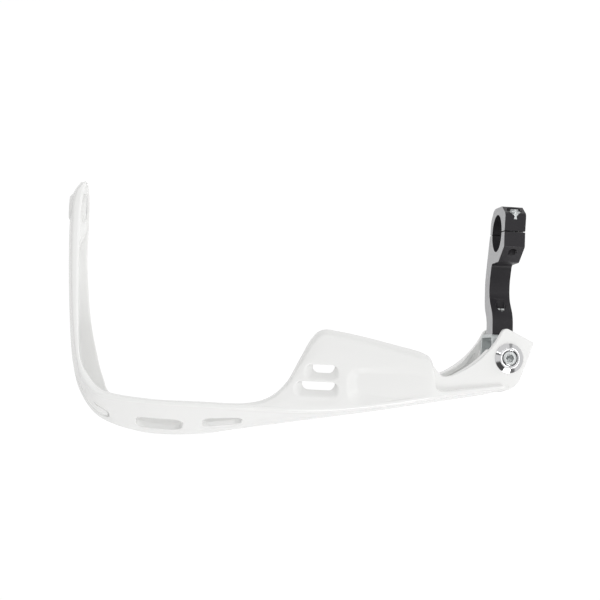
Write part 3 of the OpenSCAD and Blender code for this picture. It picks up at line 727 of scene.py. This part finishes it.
def slot_cutters():
    """The three air slots of the front wall."""
    wall = settings().shell.wall / MM
    reach = arc_length()
    cutters = []
    for k, (knot, length, height, above) in enumerate(SLOTS):
        mid = np.array([knot])
        s = section_frame(mid)
        web_l = np.linalg.norm(s["c"] - s["b"], axis=1)[0]
        level = TIP[2] * spline(BROW, mid)[0, 0] / TIP[0] + above
        drop = s["b"][0, 2] - s["c"][0, 2]
        g_mid = (s["b"][0, 2] - level) / drop
        half_h = height * (web_l / drop) / 2

        def place(x, y, mid=mid, g_mid=g_mid, web_l=web_l):
            t = reach.back(reach(mid) + x)
            g = g_mid - y / web_l
            step = 0.01
            across = web_point(t, g + step) - web_point(t, g - step)
            forward = web_point(t + step, g) - web_point(t - step, g)
            return web_point(t, g), unit(np.cross(across, forward))

        levels = flare_levels(wall + 2.2, 1.1)
        cutters.append(tube_through(f"slot_{k}", place, length / 2, half_h, SLOT_CORNER, levels))
    return cutters


def vent_cutters(grid, shield):
    """The two vents of the shield: their walls lean towards the rider as they go down, and their ends
    towards the bar's end are ramps."""
    wall = settings().shell.wall / MM
    skin = grid[:, shield[0]:shield[1]]
    normal = unit(np.cross(np.gradient(skin, axis=1), np.gradient(skin, axis=0)))
    normal *= np.sign(normal[..., 2:])
    flat, normals = skin.reshape(-1, 3), normal.reshape(-1, 3)

    def skin_at(x, y):
        near = np.argmin((flat[None, :, 0] - x[:, None]) ** 2 + (flat[None, :, 1] - y[:, None]) ** 2, axis=1)
        p, n = flat[near], normals[near]
        z = p[:, 2] - ((x - p[:, 0]) * n[:, 0] + (y - p[:, 1]) * n[:, 1]) / n[:, 2]
        return np.stack([x, y, z], 1), n

    cutters = []
    for k, (vx, vy, length) in enumerate(VENTS):
        levels = []
        for depth, grow, *_ in flare_levels(wall, 0.8, 0.4):
            share = min(max(-depth / wall, 0), 1.6)
            shrink = VENT_RAMP * share / 2 - share * 0.5
            levels.append((depth, grow - share * 0.5, VENT_RAMP * 0.27 * share, VENT_LEAN * share, shrink))

        def place(x, y, vx=vx, vy=vy):
            p, _ = skin_at(vx + x, vy + y)
            return p, np.broadcast_to(UP, p.shape)

        cutters.append(tube_through(f"vent_{k}", place, length / 2, VENT_W / 2, VENT_W / 2 - 0.3, levels))
    return cutters


def along_x(points):
    """Turns a piece that stands on z so that its axis is x, at the bar end."""
    return np.stack([points[:, 2] - GRIP_REACH, points[:, 1], -points[:, 0]], 1)


def ear_plan(start):
    """One ear's plan outline, from its start at the shield's step or at the hem, round its curved rear edge
    and its corners and back along the front wall."""
    flat = start + [(x, y, 0) for x, y in arc(*EAR_REAR)] + [(-3.4, 18.4, 3.2), (15.2, 9.9, 1.2)]
    flat += [(x, y, 0) for x, y in arc(*EAR_FRONT, 10)] + [(-30, -22.8, 0), (-46, -22.5, 0)]
    return resample(rounded(flat, 8), 420)


def lip(name, outward, low, high, flare=0.0, draft=0.0, run_out=0.0):
    """The lip along an ear's rear edge. Its section, a rectangle with corners of quarter circles, is carried
    along the edge. Its foot flares inwards by flare and draws in from the rider's side by draft. On the
    rider's side it widens as the square root of the way along, up to outward, and its end falls off as a
    circle does. Its crest sinks by run_out, smoothly along the second half."""
    rear = arc(*EAR_REAR, 80)
    rear = rear[: int(len(rear) * LIP_SHARE)]
    step = unit(np.gradient(rear, axis=0))
    side = np.stack([step[:, 1], -step[:, 0]], 1)
    way = np.linspace(0, 1, len(rear))
    end = np.sqrt(np.clip(1 - ((way - 0.92) / 0.08).clip(0) ** 2, 0, 1))
    width = outward * np.sqrt(way) * end
    turns = np.radians(np.arange(0, 360, 15))
    right, top = np.cos(turns) > -1e-9, np.sin(turns) > -1e-9
    radius, thick = LIP_R, LIP_T + np.where(top, 0, flare)
    outer = width[:, None] - np.where(top, 0, draft)
    across = np.where(right, thick - radius, radius - outer) + radius * np.cos(turns)
    crest = high - run_out * ease((way - 0.5) / 0.5)[:, None]
    height = np.where(top, crest - radius, low + radius) + radius * np.sin(turns)
    plan = rear[:, None] + side[:, None] * across[..., None]
    return ringed_mesh(name, np.concatenate([plan, height[..., None]], 2))


def ear_solids():
    """The two ears with the lips under their rear edges and the bosses on their inner faces."""
    edge = (EAR_EDGE_R, EAR_EDGE_R)
    inner = EAR_GAP / 2
    solids = [
        plate("ear_near", ear_plan(NEAR_START), inner, EAR_Z, edge, edge),
        plate("ear_far", ear_plan(FAR_START), -EAR_Z, -inner, edge, edge),
        lip("lip_near", LIP_OUT[0], inner - LIP_DEPTH, EAR_Z - 1.0, draft=LIP_DRAFT),
        lip("lip_far", LIP_OUT[1], -inner - 1, -inner + LIP_DEPTH, flare=LIP_FLARE, run_out=LIP_DEPTH - 0.6),
    ]
    r, boss = EAR_BOSS_D / 2, EAR_BOSS_START
    for name, sign in (("boss_near", 1), ("boss_far", -1)):
        profile = [(r - 0.6, boss), (r - 0.18, boss + 0.18), (r, boss + 0.6), (r, EAR_Z - 1)]
        solids.append(turned(name, [(p[0], sign * p[1]) for p in profile], to_part))
    return solids


def tip_boss():
    """The boss that holds the bush at the bar end. Its outer edge is a quarter ellipse."""
    r, across, along = TIP_BOSS_R, 3, 4
    angles = np.radians(range(0, 91, 15))
    bend = [(r - across * (1 - math.sin(a)), along * (1 - math.cos(a)) - TIP_BOSS_L) for a in angles]
    profile = bend + [(r, -0.5), (r - 0.15, -0.15), (r - 0.5, 0)]
    return turned("tip_boss", profile, along_x)


def tip_filler():
    """The moulding's solid end, which fills the channel round the bush's boss: its hand side runs from rim
    to hem just below their edges, and sinks to the channel's floor past the boss by a smooth step."""
    t = np.linspace(-0.075, 3.2, 70)
    s = section_frame(t)
    b, c = lerp(s["b"], s["b_in"], 0.5), lerp(s["c"], s["c_in"], 0.5)
    sink = ease((t - 2.05) / 1.1)[:, None]
    rim = s["a"] - UP * 0.9 + unit(s["b"] - s["a"]) * 0.45
    hem = s["d"] + UP * 0.9 + unit(s["c"] - s["d"]) * 0.45
    rim, hem = lerp(rim, b, sink * 0.98), lerp(hem, c, sink * 0.98)
    grid = np.concatenate([line(rim, hem, 12), line(hem, c, 3), line(c, b, 6), line(b, rim, 3)], 1)
    return ringed_mesh("tip_filler", grid)


def bore(name, radius, low, high, place):
    """A plain round cutting shape."""
    return turned(name, [(radius, low), (radius, high)], place, 72)


def build_shell():
    """The moulded shell: the channel with its ears and bosses, cut by its slots, vents and holes, and cut
    off flat at the bar's end."""
    shell = channel()
    shell.name = shell.data.name = "shell_moulding"
    join_solids(shell, ear_solids() + [tip_boss(), tip_filler()], "UNION")
    grid, _, shield = channel_grid(stations())
    cutters = slot_cutters() + vent_cutters(grid, shield)
    cutters += [
        bore("pivot_hole", HOLE_D / 2, -EAR_Z - 2, EAR_Z + 2, to_part),
        bore("collar_seat", SPIGOT_D / 2, 15.2, EAR_Z + 2, to_part),
        bore("bush_hole", BUSH_R + SEAT_GAP, -TIP_BOSS_L - 2, 3, along_x),
        bore("flange_seat", FLANGE_R + SEAT_GAP, -FLANGE_T, 8, along_x),
        plate("tip_cut", np.array(TIP_CUT), -30.0, 50.0, (0, 0), (0, 0)),
    ]
    return join_solids(shell, cutters, "DIFFERENCE")


def hex_socket(name, depth, place):
    """The cutting shape of a hex socket: a six-sided prism with a drill's point below and a chamfered
    mouth at z = 0."""
    r = HEX_AF / 2 / math.cos(math.radians(30))
    profile = [
        (0.1, -depth - 0.9), (HEX_AF * 0.42, -depth), (r, -depth), (r, -0.3), (r + 0.35, 0.05), (r + 0.35, 1),
    ]
    return turned(name, profile, place, 6)


def socket_screw(name, length, place):
    """A screw with a round head and a hex socket, whose head's top is at z = 0 and whose lower shank is
    threaded."""
    r = BOLT_D / 2
    end = -HEAD_H - length
    thread_top = max(-HEAD_H - 3, end + 22)
    profile = [
        (0.8, end), (r - 0.7, end), (r - 0.05, end + 0.7), (r - 0.02, end + 0.8), (r - 0.02, thread_top),
        (r, thread_top + 0.2), (r, -HEAD_H - 0.3), (r + 0.3, -HEAD_H), (HEAD_R - 0.2, -HEAD_H),
        (HEAD_R, -HEAD_H + 0.2), (HEAD_R, -0.6), (HEAD_R - 0.1, -0.25), (HEAD_R - 0.4, -0.05),
        (HEAD_R - 0.7, 0), (0.8, 0),
    ]
    screw = turned(name, profile, place, 96, (end + 0.8, thread_top, 0.8, 0.45))
    return join_solids(screw, [hex_socket("socket", HEAD_H * 0.55, place)], "DIFFERENCE")


def along_y(centre):
    """Turns a piece that stands on z so that its axis is y, and moves it to centre."""
    def place(points):
        return np.stack([points[:, 0], points[:, 2], -points[:, 1]], 1) + np.array(centre, float)

    return place


def on_collar(points):
    """Moves a piece that stands on z to the top of the pivot's collar."""
    return to_part(points + (0, 0, EAR_Z + COLLAR_H))


def domed_screw(name, size):
    """The bracket's screw: a low dome, a quarter ellipse from rim to crown, with a hex socket, above its
    seat at z = 0, and a threaded shank."""
    r, length = size["d"] / 2, size["length"]
    dome_r, dome_h = size["d"] * 0.875, size["d"] * 0.55
    a = np.radians(np.linspace(90, 0, 12))
    dome = np.stack([dome_r * (0.55 + 0.45 * np.cos(a)), -dome_h * (0.12 + 0.88 * np.sin(a))], 1)
    profile = [(0.8, -dome_h), *dome.tolist(), (dome_r, -0.1), (dome_r - 0.1, 0), (r, 0), (r - 0.02, 1)]
    profile += [(r - 0.02, length - 0.8), (r - 0.1, length - 0.7), (r - 0.7, length), (0.8, length)]
    place = along_y(size["seat"])
    screw = turned(name, profile, place, 96, (1.0, length - 0.8, 1.0, 0.55))
    flip = np.array((1, 1, -1))
    socket = hex_socket("socket", dome_h * 0.6, lambda points: place((points + (0, 0, dome_h)) * flip))
    return join_solids(screw, [socket], "DIFFERENCE")


def collar():
    """The pivot's collar: a ring whose polished cone leads down from a flat lip round the bolt's head."""
    hole, spigot, cup = HOLE_D / 2, 6.0, 4.6
    floor, top = EAR_Z + COLLAR_H - HEAD_H, EAR_Z + COLLAR_H
    profile = [
        (hole, floor - 1.5), (spigot - 0.2, floor - 1.5), (spigot, floor - 1.3), (spigot, EAR_Z),
        (COLLAR_R - 0.1, EAR_Z), (COLLAR_R, EAR_Z + 0.08), (COLLAR_R, EAR_Z + 0.3),
        (COLLAR_R - 0.05, EAR_Z + 0.42), (6.36, top - 0.1),
        (6.2, top - 0.02), (6.05, top), (cup + 0.45, top), (cup + 0.3, top - 0.03), (cup + 0.08, top - 0.2),
        (cup, top - 0.4), (cup, floor), (hole, floor), (hole, floor - 1.5),
    ]
    return turned("collar", profile, to_part, 192)


def bush():
    """The bar end's bush: a flanged tube with fine turned edges."""
    r, rim, hole = BUSH_R, FLANGE_R, BUSH_BORE_R
    profile = [
        (hole, -TIP_BOSS_L), (r - 0.3, -TIP_BOSS_L), (r, 0.3 - TIP_BOSS_L), (r, -FLANGE_T - 0.1),
        (r + 0.1, -FLANGE_T), (rim - 0.2, -FLANGE_T), (rim, 0.15 - FLANGE_T), (rim, -0.35),
        (rim - 0.1, -0.12), (rim - 0.3, 0), (hole + 0.4, 0), (hole + 0.1, -0.1), (hole, -0.4),
        (hole, -TIP_BOSS_L),
    ]
    return turned("bush", profile, along_x, 128)


class ShellSizes(bpy.types.PropertyGroup):
    """Sizes and colours of the moulded shell."""

    wall: bpy.props.FloatProperty(
        name="Wall", description="Thickness of the moulding", default=0.003, unit="LENGTH")
    shield_rise: bpy.props.FloatProperty(
        name="Shield rise", description="Height of the shield's rolled end", default=0.004, unit="LENGTH")
    edge_roll: bpy.props.FloatProperty(
        name="Edge roll", description="How far the shield's rear edge rolls down", default=0.0026,
        unit="LENGTH")
    crown: bpy.props.FloatProperty(
        name="Crown", description="Crown of the shield", default=0.001, unit="LENGTH")
    web_bulge: bpy.props.FloatProperty(
        name="Wall bulge", description="Outward bulge of the front wall", default=0.0008, unit="LENGTH")
    scoop_depth: bpy.props.FloatProperty(
        name="Scoop depth", description="Depth of the shield's scoop", default=0.0018, unit="LENGTH")
    vent_dip: bpy.props.FloatProperty(
        name="Vent dip", description="Depth of the soft dip round each vent", default=0.0006, unit="LENGTH")
    chin_depth: bpy.props.FloatProperty(
        name="Chin depth", description="Depth of the chins under the slots", default=0.0006, unit="LENGTH")
    colour: bpy.props.FloatVectorProperty(
        name="Colour", description="Colour of the outer skin", subtype="COLOR", default=(0.86, 0.86, 0.85),
        min=0, max=1)
    # Painted shade: the inner skin is the same plastic as the outer one, given a darker, warmer colour that
    # stands in for the shade inside the channel.
    inside: bpy.props.FloatVectorProperty(
        name="Inside", description="Colour of the inner skin", subtype="COLOR", default=(0.83, 0.83, 0.79),
        min=0, max=1)


class MetalLooks(bpy.types.PropertyGroup):
    """Colours of the metal pieces."""

    anodised: bpy.props.FloatVectorProperty(
        name="Anodised", description="Black anodised skin of the arm and cap", subtype="COLOR",
        default=(0.03, 0.028, 0.032), min=0, max=1)
    machined: bpy.props.FloatVectorProperty(
        name="Machined", description="Bare faces of the arm and cap", subtype="COLOR",
        default=(0.5, 0.5, 0.51), min=0, max=1)
    zinc: bpy.props.FloatVectorProperty(
        name="Zinc", description="Plating of the screws", subtype="COLOR", default=(0.66, 0.68, 0.68),
        min=0, max=1)
    bracket: bpy.props.FloatVectorProperty(
        name="Bracket", description="Plating of the bracket", subtype="COLOR", default=(0.62, 0.65, 0.65),
        min=0, max=1)
    polished: bpy.props.FloatVectorProperty(
        name="Polished", description="Turned and polished collar", subtype="COLOR",
        default=(0.75, 0.75, 0.76), min=0, max=1)
    bush: bpy.props.FloatVectorProperty(
        name="Bush", description="Turned bush at the bar end", subtype="COLOR", default=(0.62, 0.62, 0.62),
        min=0, max=1)


class StageLooks(bpy.types.PropertyGroup):
    """The floor, the lamps and the camera."""

    floor_z: bpy.props.FloatProperty(
        name="Floor", description="Height of the floor", default=-0.11, unit="LENGTH")
    world: bpy.props.FloatProperty(
        name="World", description="Strength of the surrounding light", default=0.87)
    key: bpy.props.FloatProperty(
        name="Key", description="Power of the large lamp above", default=0.7, unit="POWER")
    fill: bpy.props.FloatProperty(
        name="Fill", description="Power of the lamp at the front", default=2.8, unit="POWER")
    strip: bpy.props.FloatProperty(
        name="Strip", description="Power of the long narrow lamp on the rider's side", default=0.8,
        unit="POWER")
    side: bpy.props.FloatProperty(
        name="Side", description="Power of the low lamp at the hand's side", default=3.0, unit="POWER")
    target: bpy.props.FloatVectorProperty(
        name="Target", description="Point that the camera looks at", default=(-0.1229, -0.0463, 0),
        subtype="TRANSLATION")
    distance: bpy.props.FloatProperty(
        name="Distance", description="From camera to target", default=0.883, unit="LENGTH")
    angles: bpy.props.FloatVectorProperty(
        name="Angles", description="Camera's turns about y, x and z", subtype="EULER",
        default=(math.radians(-6.64), math.radians(2.77), math.radians(2.82)))
    lens: bpy.props.FloatProperty(
        name="Lens", description="Focal length in millimetres", default=90.0)


class HandGuard(bpy.types.PropertyGroup):
    """All settings of the hand guard."""

    shell: bpy.props.PointerProperty(type=ShellSizes)
    metal: bpy.props.PointerProperty(type=MetalLooks)
    stage: bpy.props.PointerProperty(type=StageLooks)


def node_adder(tree):
    """A short way to add nodes to the tree: values that start with in_ go to the input of that name."""
    def add(kind, **values):
        node = tree.nodes.new(kind)
        for key, value in values.items():
            if key.startswith("in_"):
                node.inputs[key[3:].replace("_", " ")].default_value = value
            else:
                setattr(node, key, value)
        return node

    return add


def new_material(name):
    """A node material, with its tree, its shader and a short way to add nodes."""
    material = bpy.data.materials.new(name)
    material.use_nodes = True
    tree = material.node_tree
    return material, tree, tree.nodes["Principled BSDF"], node_adder(tree)


def fine_bump(tree, add, shader, height, strength):
    """Ruffles the shader's surface by a height of up to a tenth of a millimetre."""
    bump = add("ShaderNodeBump", in_Strength=strength, in_Distance=0.0001)
    tree.links.new(height, bump.inputs["Height"])
    tree.links.new(bump.outputs["Normal"], shader.inputs["Normal"])


def surface_noise(tree, add, scale, detail, stretch=(1, 1, 1)):
    """Noise over the piece, with scale in cycles a metre and stretched by axis."""
    place = add("ShaderNodeTexCoord")
    mapping = add("ShaderNodeMapping")
    mapping.inputs["Scale"].default_value = stretch
    tree.links.new(place.outputs["Object"], mapping.inputs["Vector"])
    noise = add("ShaderNodeTexNoise", in_Scale=scale, in_Detail=detail)
    tree.links.new(mapping.outputs["Vector"], noise.inputs["Vector"])
    return noise


def spread(tree, add, source, low, high):
    """The source, from 0 to 1, spread between two values."""
    node = add("ShaderNodeMapRange", in_To_Min=low, in_To_Max=high)
    tree.links.new(source, node.inputs["Value"])
    return node.outputs["Result"]


def blend_colours(tree, add, factor, first, second):
    """Two colours mixed by a factor."""
    node = add("ShaderNodeMix", data_type="RGBA")
    for socket, value in ((node.inputs[6], first), (node.inputs[7], second)):
        if hasattr(value, "is_output"):
            tree.links.new(value, socket)
        else:
            socket.default_value = (*value, 1)
    tree.links.new(factor, node.inputs[0])
    return node.outputs[2]


def moulded_plastic(name, colour, roughness):
    """Glossy moulded plastic: a faint drift of colour over centimetres, a fine moulding grain and a
    roughness that varies with it."""
    material, tree, shader, add = new_material(name)
    drift = spread(tree, add, surface_noise(tree, add, 18.0, 2.0).outputs["Fac"], 0, 0.8)
    mixed = blend_colours(tree, add, drift, colour, [c * 0.965 for c in colour])
    tree.links.new(mixed, shader.inputs["Base Color"])
    grain = surface_noise(tree, add, 900.0, 3.0).outputs["Fac"]
    rough = spread(tree, add, grain, roughness - 0.05, roughness + 0.06)
    tree.links.new(rough, shader.inputs["Roughness"])
    fine_bump(tree, add, shader, grain, 0.04)
    shader.inputs["IOR"].default_value = 1.5
    return material


def metal(name, colour, roughness, variation=0.12, metallic=1.0):
    """Plated or turned metal: a fine grain in colour, roughness and height."""
    material, tree, shader, add = new_material(name)
    shader.inputs["Metallic"].default_value = metallic
    fine = surface_noise(tree, add, 1400.0, 3.0).outputs["Fac"]
    mixed = blend_colours(tree, add, fine, colour, [c * (1 - variation) for c in colour])
    tree.links.new(mixed, shader.inputs["Base Color"])
    wide = surface_noise(tree, add, 160.0, 3.0).outputs["Fac"]
    tree.links.new(spread(tree, add, wide, roughness * 0.75, roughness * 1.3), shader.inputs["Roughness"])
    fine_bump(tree, add, shader, fine, 0.12)
    return material


def anodised_arm(name):
    """Black anodised metal whose faces across x are bare and milled, with the mill's fine lines."""
    looks = settings().metal
    material, tree, shader, add = new_material(name)
    place = add("ShaderNodeTexCoord")
    split = add("ShaderNodeSeparateXYZ")
    tree.links.new(place.outputs["Normal"], split.inputs["Vector"])
    size = add("ShaderNodeMath", operation="ABSOLUTE")
    tree.links.new(split.outputs["X"], size.inputs[0])
    bare = add("ShaderNodeMapRange", interpolation_type="SMOOTHSTEP", in_From_Min=0.86, in_From_Max=0.93)
    tree.links.new(size.outputs[0], bare.inputs["Value"])
    mill = surface_noise(tree, add, 700.0, 2.0, (1, 0.08, 1)).outputs["Fac"]
    grain = surface_noise(tree, add, 2200.0, 3.0).outputs["Fac"]
    milled = blend_colours(tree, add, mill, looks.machined, [c * 0.82 for c in looks.machined])
    black = blend_colours(tree, add, grain, looks.anodised, [c * 0.6 for c in looks.anodised])
    mixed = blend_colours(tree, add, bare.outputs["Result"], black, milled)
    tree.links.new(mixed, shader.inputs["Base Color"])
    tree.links.new(bare.outputs["Result"], shader.inputs["Metallic"])
    tree.links.new(spread(tree, add, grain, 0.34, 0.46), shader.inputs["Roughness"])
    shader.inputs["Specular IOR Level"].default_value = 0.25
    fine_bump(tree, add, shader, grain, 0.15)
    return material


def dress_node(name, material, bevel):
    """Gives a CAD node its material and finely rounded edges."""
    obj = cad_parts[name]
    for slot in obj.material_slots:
        slot.link = "OBJECT"
        slot.material = material
    weld = obj.modifiers.new("weld", "WELD")
    weld.merge_threshold = 1e-6
    step = obj.modifiers.new("edges", "BEVEL")
    step.width = bevel
    step.segments = 2
    step.limit_method = "ANGLE"
    step.angle_limit = math.radians(35)
    obj.modifiers.new("shade", "WEIGHTED_NORMAL")


def finish_piece(piece, materials, node, degrees=28):
    """Gives a new piece its materials and shading, and puts it in the place of a CAD node."""
    piece.data.materials.clear()
    for material in materials:
        piece.data.materials.append(material)
    smooth(piece, degrees)
    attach(piece, "root")
    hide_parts(node)


class HANDGUARD_OT_shell(bpy.types.Operator):
    """Builds the moulded shell in place of its CAD solid"""

    bl_idname = "hand_guard.shell"
    bl_label = "Moulded shell"

    def execute(self, context):
        look = settings().shell
        skins = [
            moulded_plastic("shell_plastic", look.colour, 0.16),
            # The second skin's colour is painted shade: the outer plastic made darker and warmer for the
            # channel's inside.
            moulded_plastic("shell_inside_painted_shade", look.inside, 0.42),
        ]
        finish_piece(build_shell(), skins, "guard_shell", 32)
        return {"FINISHED"}


class HANDGUARD_OT_arm(bpy.types.Operator):
    """Finishes the clamp arm and its cap"""

    bl_idname = "hand_guard.arm"
    bl_label = "Clamp arm and cap"

    def execute(self, context):
        finish = anodised_arm("anodised_arm")
        dress_node("clamp_arm", finish, 0.0004)
        dress_node("clamp_cap", finish, 0.0004)
        return {"FINISHED"}


class HANDGUARD_OT_pivot(bpy.types.Operator):
    """Finishes the bracket, the collar and the other pivot pieces"""

    bl_idname = "hand_guard.pivot"
    bl_label = "Pivot and screws"

    def execute(self, context):
        looks = settings().metal
        zinc = metal("zinc_plate", looks.zinc, 0.3)
        dress_node("u_bracket", metal("bracket_plate", looks.bracket, 0.36, metallic=0.55), 0.0003)
        for name in ("pivot_spacer", "pivot_washer", "pivot_nut"):
            dress_node(name, zinc, 0.0002)
        clamp_bolt = socket_screw("clamp_bolt", CLAMP_SCREW["length"], along_y(CLAMP_SCREW["top"]))
        finish_piece(clamp_bolt, [zinc], "clamp_screw")
        finish_piece(socket_screw("swivel_bolt", PIVOT_BOLT_L, on_collar), [zinc], "pivot_bolt")
        finish_piece(domed_screw("domed_screw", BRACKET_SCREW), [zinc], "bracket_screw")
        polished = metal("polished_collar", looks.polished, 0.07, 0.04)
        finish_piece(collar(), [polished], "pivot_collar")
        finish_piece(bush(), [metal("turned_bush", looks.bush, 0.3)], "bar_end_bush")
        return {"FINISHED"}


def camera_turn(angles):
    """Turn about y, then x, then z, each in the frame that the one before leaves."""
    y, x, z = angles
    return Matrix.Rotation(y, 4, "Y") @ Matrix.Rotation(x, 4, "X") @ Matrix.Rotation(z, 4, "Z")


def add_lamp(name, size, power, place, target, mirrored):
    """A soft lamp, as long and wide as size says, that faces the target. Shiny surfaces mirror it if
    mirrored is true."""
    data = bpy.data.lights.new(name, "AREA")
    data.shape = "RECTANGLE"
    data.size, data.size_y = size
    data.energy = power
    lamp = bpy.data.objects.new(name, data)
    bpy.context.scene.collection.objects.link(lamp)
    lamp.visible_glossy = mirrored
    aim = Matrix.Translation(place)
    direction = (target - aim.translation).normalized()
    lamp.matrix_world = aim @ direction.to_track_quat("-Z", "Y").to_matrix().to_4x4()


def dark_sectors(tree, add):
    """Share by which dark cards round the studio hide the light: bumps round some azimuths, each the smooth
    step of the cosine of the angle to the card's middle, within a band of elevations."""
    place = add("ShaderNodeTexCoord")
    flat = add("ShaderNodeVectorMath", operation="MULTIPLY_ADD")
    flat.inputs[1].default_value = (1, 1, 0)
    flat.inputs[2].default_value = (-CARD_CENTRE[0], -CARD_CENTRE[1], 0)
    tree.links.new(place.outputs["Generated"], flat.inputs[0])
    level = add("ShaderNodeVectorMath", operation="NORMALIZE")
    tree.links.new(flat.outputs[0], level.inputs[0])

    def joined(operation, first, second):
        both = add("ShaderNodeMath", operation=operation)
        tree.links.new(first, both.inputs[0])
        tree.links.new(second, both.inputs[1])
        return both.outputs[0]

    def smooth_step(source, low, high, top=1.0):
        node = add("ShaderNodeMapRange", interpolation_type="SMOOTHSTEP", in_From_Min=low, in_From_Max=high)
        node.inputs["To Max"].default_value = top
        tree.links.new(source, node.inputs["Value"])
        return node.outputs["Result"]

    cards = []
    for azimuth, half, darkness in CARDS:
        a, h = math.radians(azimuth), math.radians(half)
        dot = add("ShaderNodeVectorMath", operation="DOT_PRODUCT")
        dot.inputs[1].default_value = (math.cos(a), math.sin(a), 0)
        tree.links.new(level.outputs[0], dot.inputs[0])
        cards.append(smooth_step(dot.outputs["Value"], math.cos(h * 1.3), math.cos(h * 0.7), darkness))
    total = cards[0]
    for card in cards[1:]:
        total = joined("MAXIMUM", total, card)
    height = add("ShaderNodeSeparateXYZ")
    tree.links.new(place.outputs["Generated"], height.inputs[0])
    for low, high in CARD_FADES:
        total = joined("MULTIPLY", total, smooth_step(height.outputs["Z"], low, high))
    return total


def pale_world(strength):
    """White where the camera looks straight at it, a bright room with dark cards in polished metal, and a
    plain soft light elsewhere."""
    world = bpy.data.worlds.new("studio")
    bpy.context.scene.world = world
    world.use_nodes = True
    tree = world.node_tree
    tree.nodes.clear()
    add = node_adder(tree)
    out = add("ShaderNodeOutputWorld")
    path = add("ShaderNodeLightPath")
    room = add("ShaderNodeMapRange", in_To_Min=1.0, in_To_Max=0.0)
    tree.links.new(dark_sectors(tree, add), room.inputs["Value"])
    shiny = add("ShaderNodeMath", operation="MAXIMUM")
    tree.links.new(path.outputs["Is Glossy Ray"], shiny.inputs[0])
    tree.links.new(path.outputs["Is Transmission Ray"], shiny.inputs[1])
    mirrored = add("ShaderNodeMix", data_type="FLOAT", in_A=strength)
    tree.links.new(shiny.outputs[0], mirrored.inputs["Factor"])
    tree.links.new(room.outputs["Result"], mirrored.inputs["B"])
    seen = add("ShaderNodeMix", data_type="FLOAT", in_B=1.0)
    tree.links.new(path.outputs["Is Camera Ray"], seen.inputs["Factor"])
    tree.links.new(mirrored.outputs["Result"], seen.inputs["A"])
    light = add("ShaderNodeBackground")
    tree.links.new(seen.outputs["Result"], light.inputs["Strength"])
    tree.links.new(light.outputs[0], out.inputs["Surface"])


def pale_floor(height):
    """A wide floor that shows nearly white to the camera and keeps a soft shadow."""
    mesh = bpy.data.meshes.new("floor")
    corners = [(x * FLOOR_HALF, y * FLOOR_HALF, height) for x, y in ((-1, -1), (1, -1), (1, 1), (-1, 1))]
    mesh.from_pydata(corners, [], [(0, 1, 2, 3)])
    floor = bpy.data.objects.new("floor", mesh)
    bpy.context.scene.collection.objects.link(floor)
    material, tree, shader, add = new_material("floor_paper")
    shader.inputs["Base Color"].default_value = (0.9, 0.9, 0.9, 1)
    shader.inputs["Roughness"].default_value = 0.9
    shader.inputs["Specular IOR Level"].default_value = 0.0
    glow = add("ShaderNodeEmission", in_Color=(1, 1, 1, 1), in_Strength=1.06)
    path = add("ShaderNodeLightPath")
    either = add("ShaderNodeMath", operation="MAXIMUM")
    tree.links.new(path.outputs["Is Camera Ray"], either.inputs[0])
    tree.links.new(path.outputs["Is Transmission Ray"], either.inputs[1])
    share = add("ShaderNodeMath", operation="MULTIPLY")
    share.inputs[1].default_value = 0.8
    tree.links.new(either.outputs[0], share.inputs[0])
    mix = add("ShaderNodeMixShader")
    tree.links.new(share.outputs[0], mix.inputs[0])
    tree.links.new(shader.outputs[0], mix.inputs[1])
    tree.links.new(glow.outputs[0], mix.inputs[2])
    tree.links.new(mix.outputs[0], tree.nodes["Material Output"].inputs["Surface"])
    mesh.materials.append(material)


class HANDGUARD_OT_stage(bpy.types.Operator):
    """Adds the floor, the lamps and the camera"""

    bl_idname = "hand_guard.stage"
    bl_label = "Stage"

    def execute(self, context):
        stage = settings().stage
        scene = context.scene
        scene.view_settings.view_transform = "Standard"
        pale_world(stage.world)
        pale_floor(stage.floor_z)
        target = Matrix.Translation(stage.target).translation
        for name, setting, share, size, place, mirrored in LAMPS:
            add_lamp(name, size, getattr(stage, setting) * share, place, target, mirrored)
        data = bpy.data.cameras.new("camera")
        data.lens = stage.lens
        data.sensor_width = SENSOR_WIDTH
        camera = bpy.data.objects.new("camera", data)
        scene.collection.objects.link(camera)
        turn = camera_turn(stage.angles)
        camera.matrix_world = Matrix.Translation(target) @ turn @ Matrix.Translation((0, 0, stage.distance))
        scene.camera = camera
        return {"FINISHED"}


class HANDGUARD_PT_panel(bpy.types.Panel):
    """Lists the pieces of the hand guard"""

    bl_idname = "HANDGUARD_PT_panel"
    bl_label = "Hand Guard"
    bl_space_type = "VIEW_3D"
    bl_region_type = "UI"
    bl_category = "Hand Guard"

    def draw(self, context):
        for group in (settings().shell, settings().metal, settings().stage):
            box = self.layout.box()
            for name in group.__annotations__:
                box.prop(group, name)
        for operator in OPERATORS:
            self.layout.operator(operator.bl_idname)


OPERATORS = (HANDGUARD_OT_shell, HANDGUARD_OT_arm, HANDGUARD_OT_pivot, HANDGUARD_OT_stage)
CLASSES = (ShellSizes, MetalLooks, StageLooks, HandGuard, *OPERATORS, HANDGUARD_PT_panel)


def register():
    """Adds the classes and the scene's settings."""
    for cls in CLASSES:
        bpy.utils.register_class(cls)
    bpy.types.Scene.hand_guard = bpy.props.PointerProperty(type=HandGuard)


def unregister():
    """Removes the scene's settings and the classes."""
    del bpy.types.Scene.hand_guard
    for cls in reversed(CLASSES):
        bpy.utils.unregister_class(cls)


def main():
    """Builds every piece and the stage."""
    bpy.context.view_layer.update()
    register()
    bpy.ops.hand_guard.shell()
    bpy.ops.hand_guard.arm()
    bpy.ops.hand_guard.pivot()
    bpy.ops.hand_guard.stage()


if __name__ == "__main__":
    main()
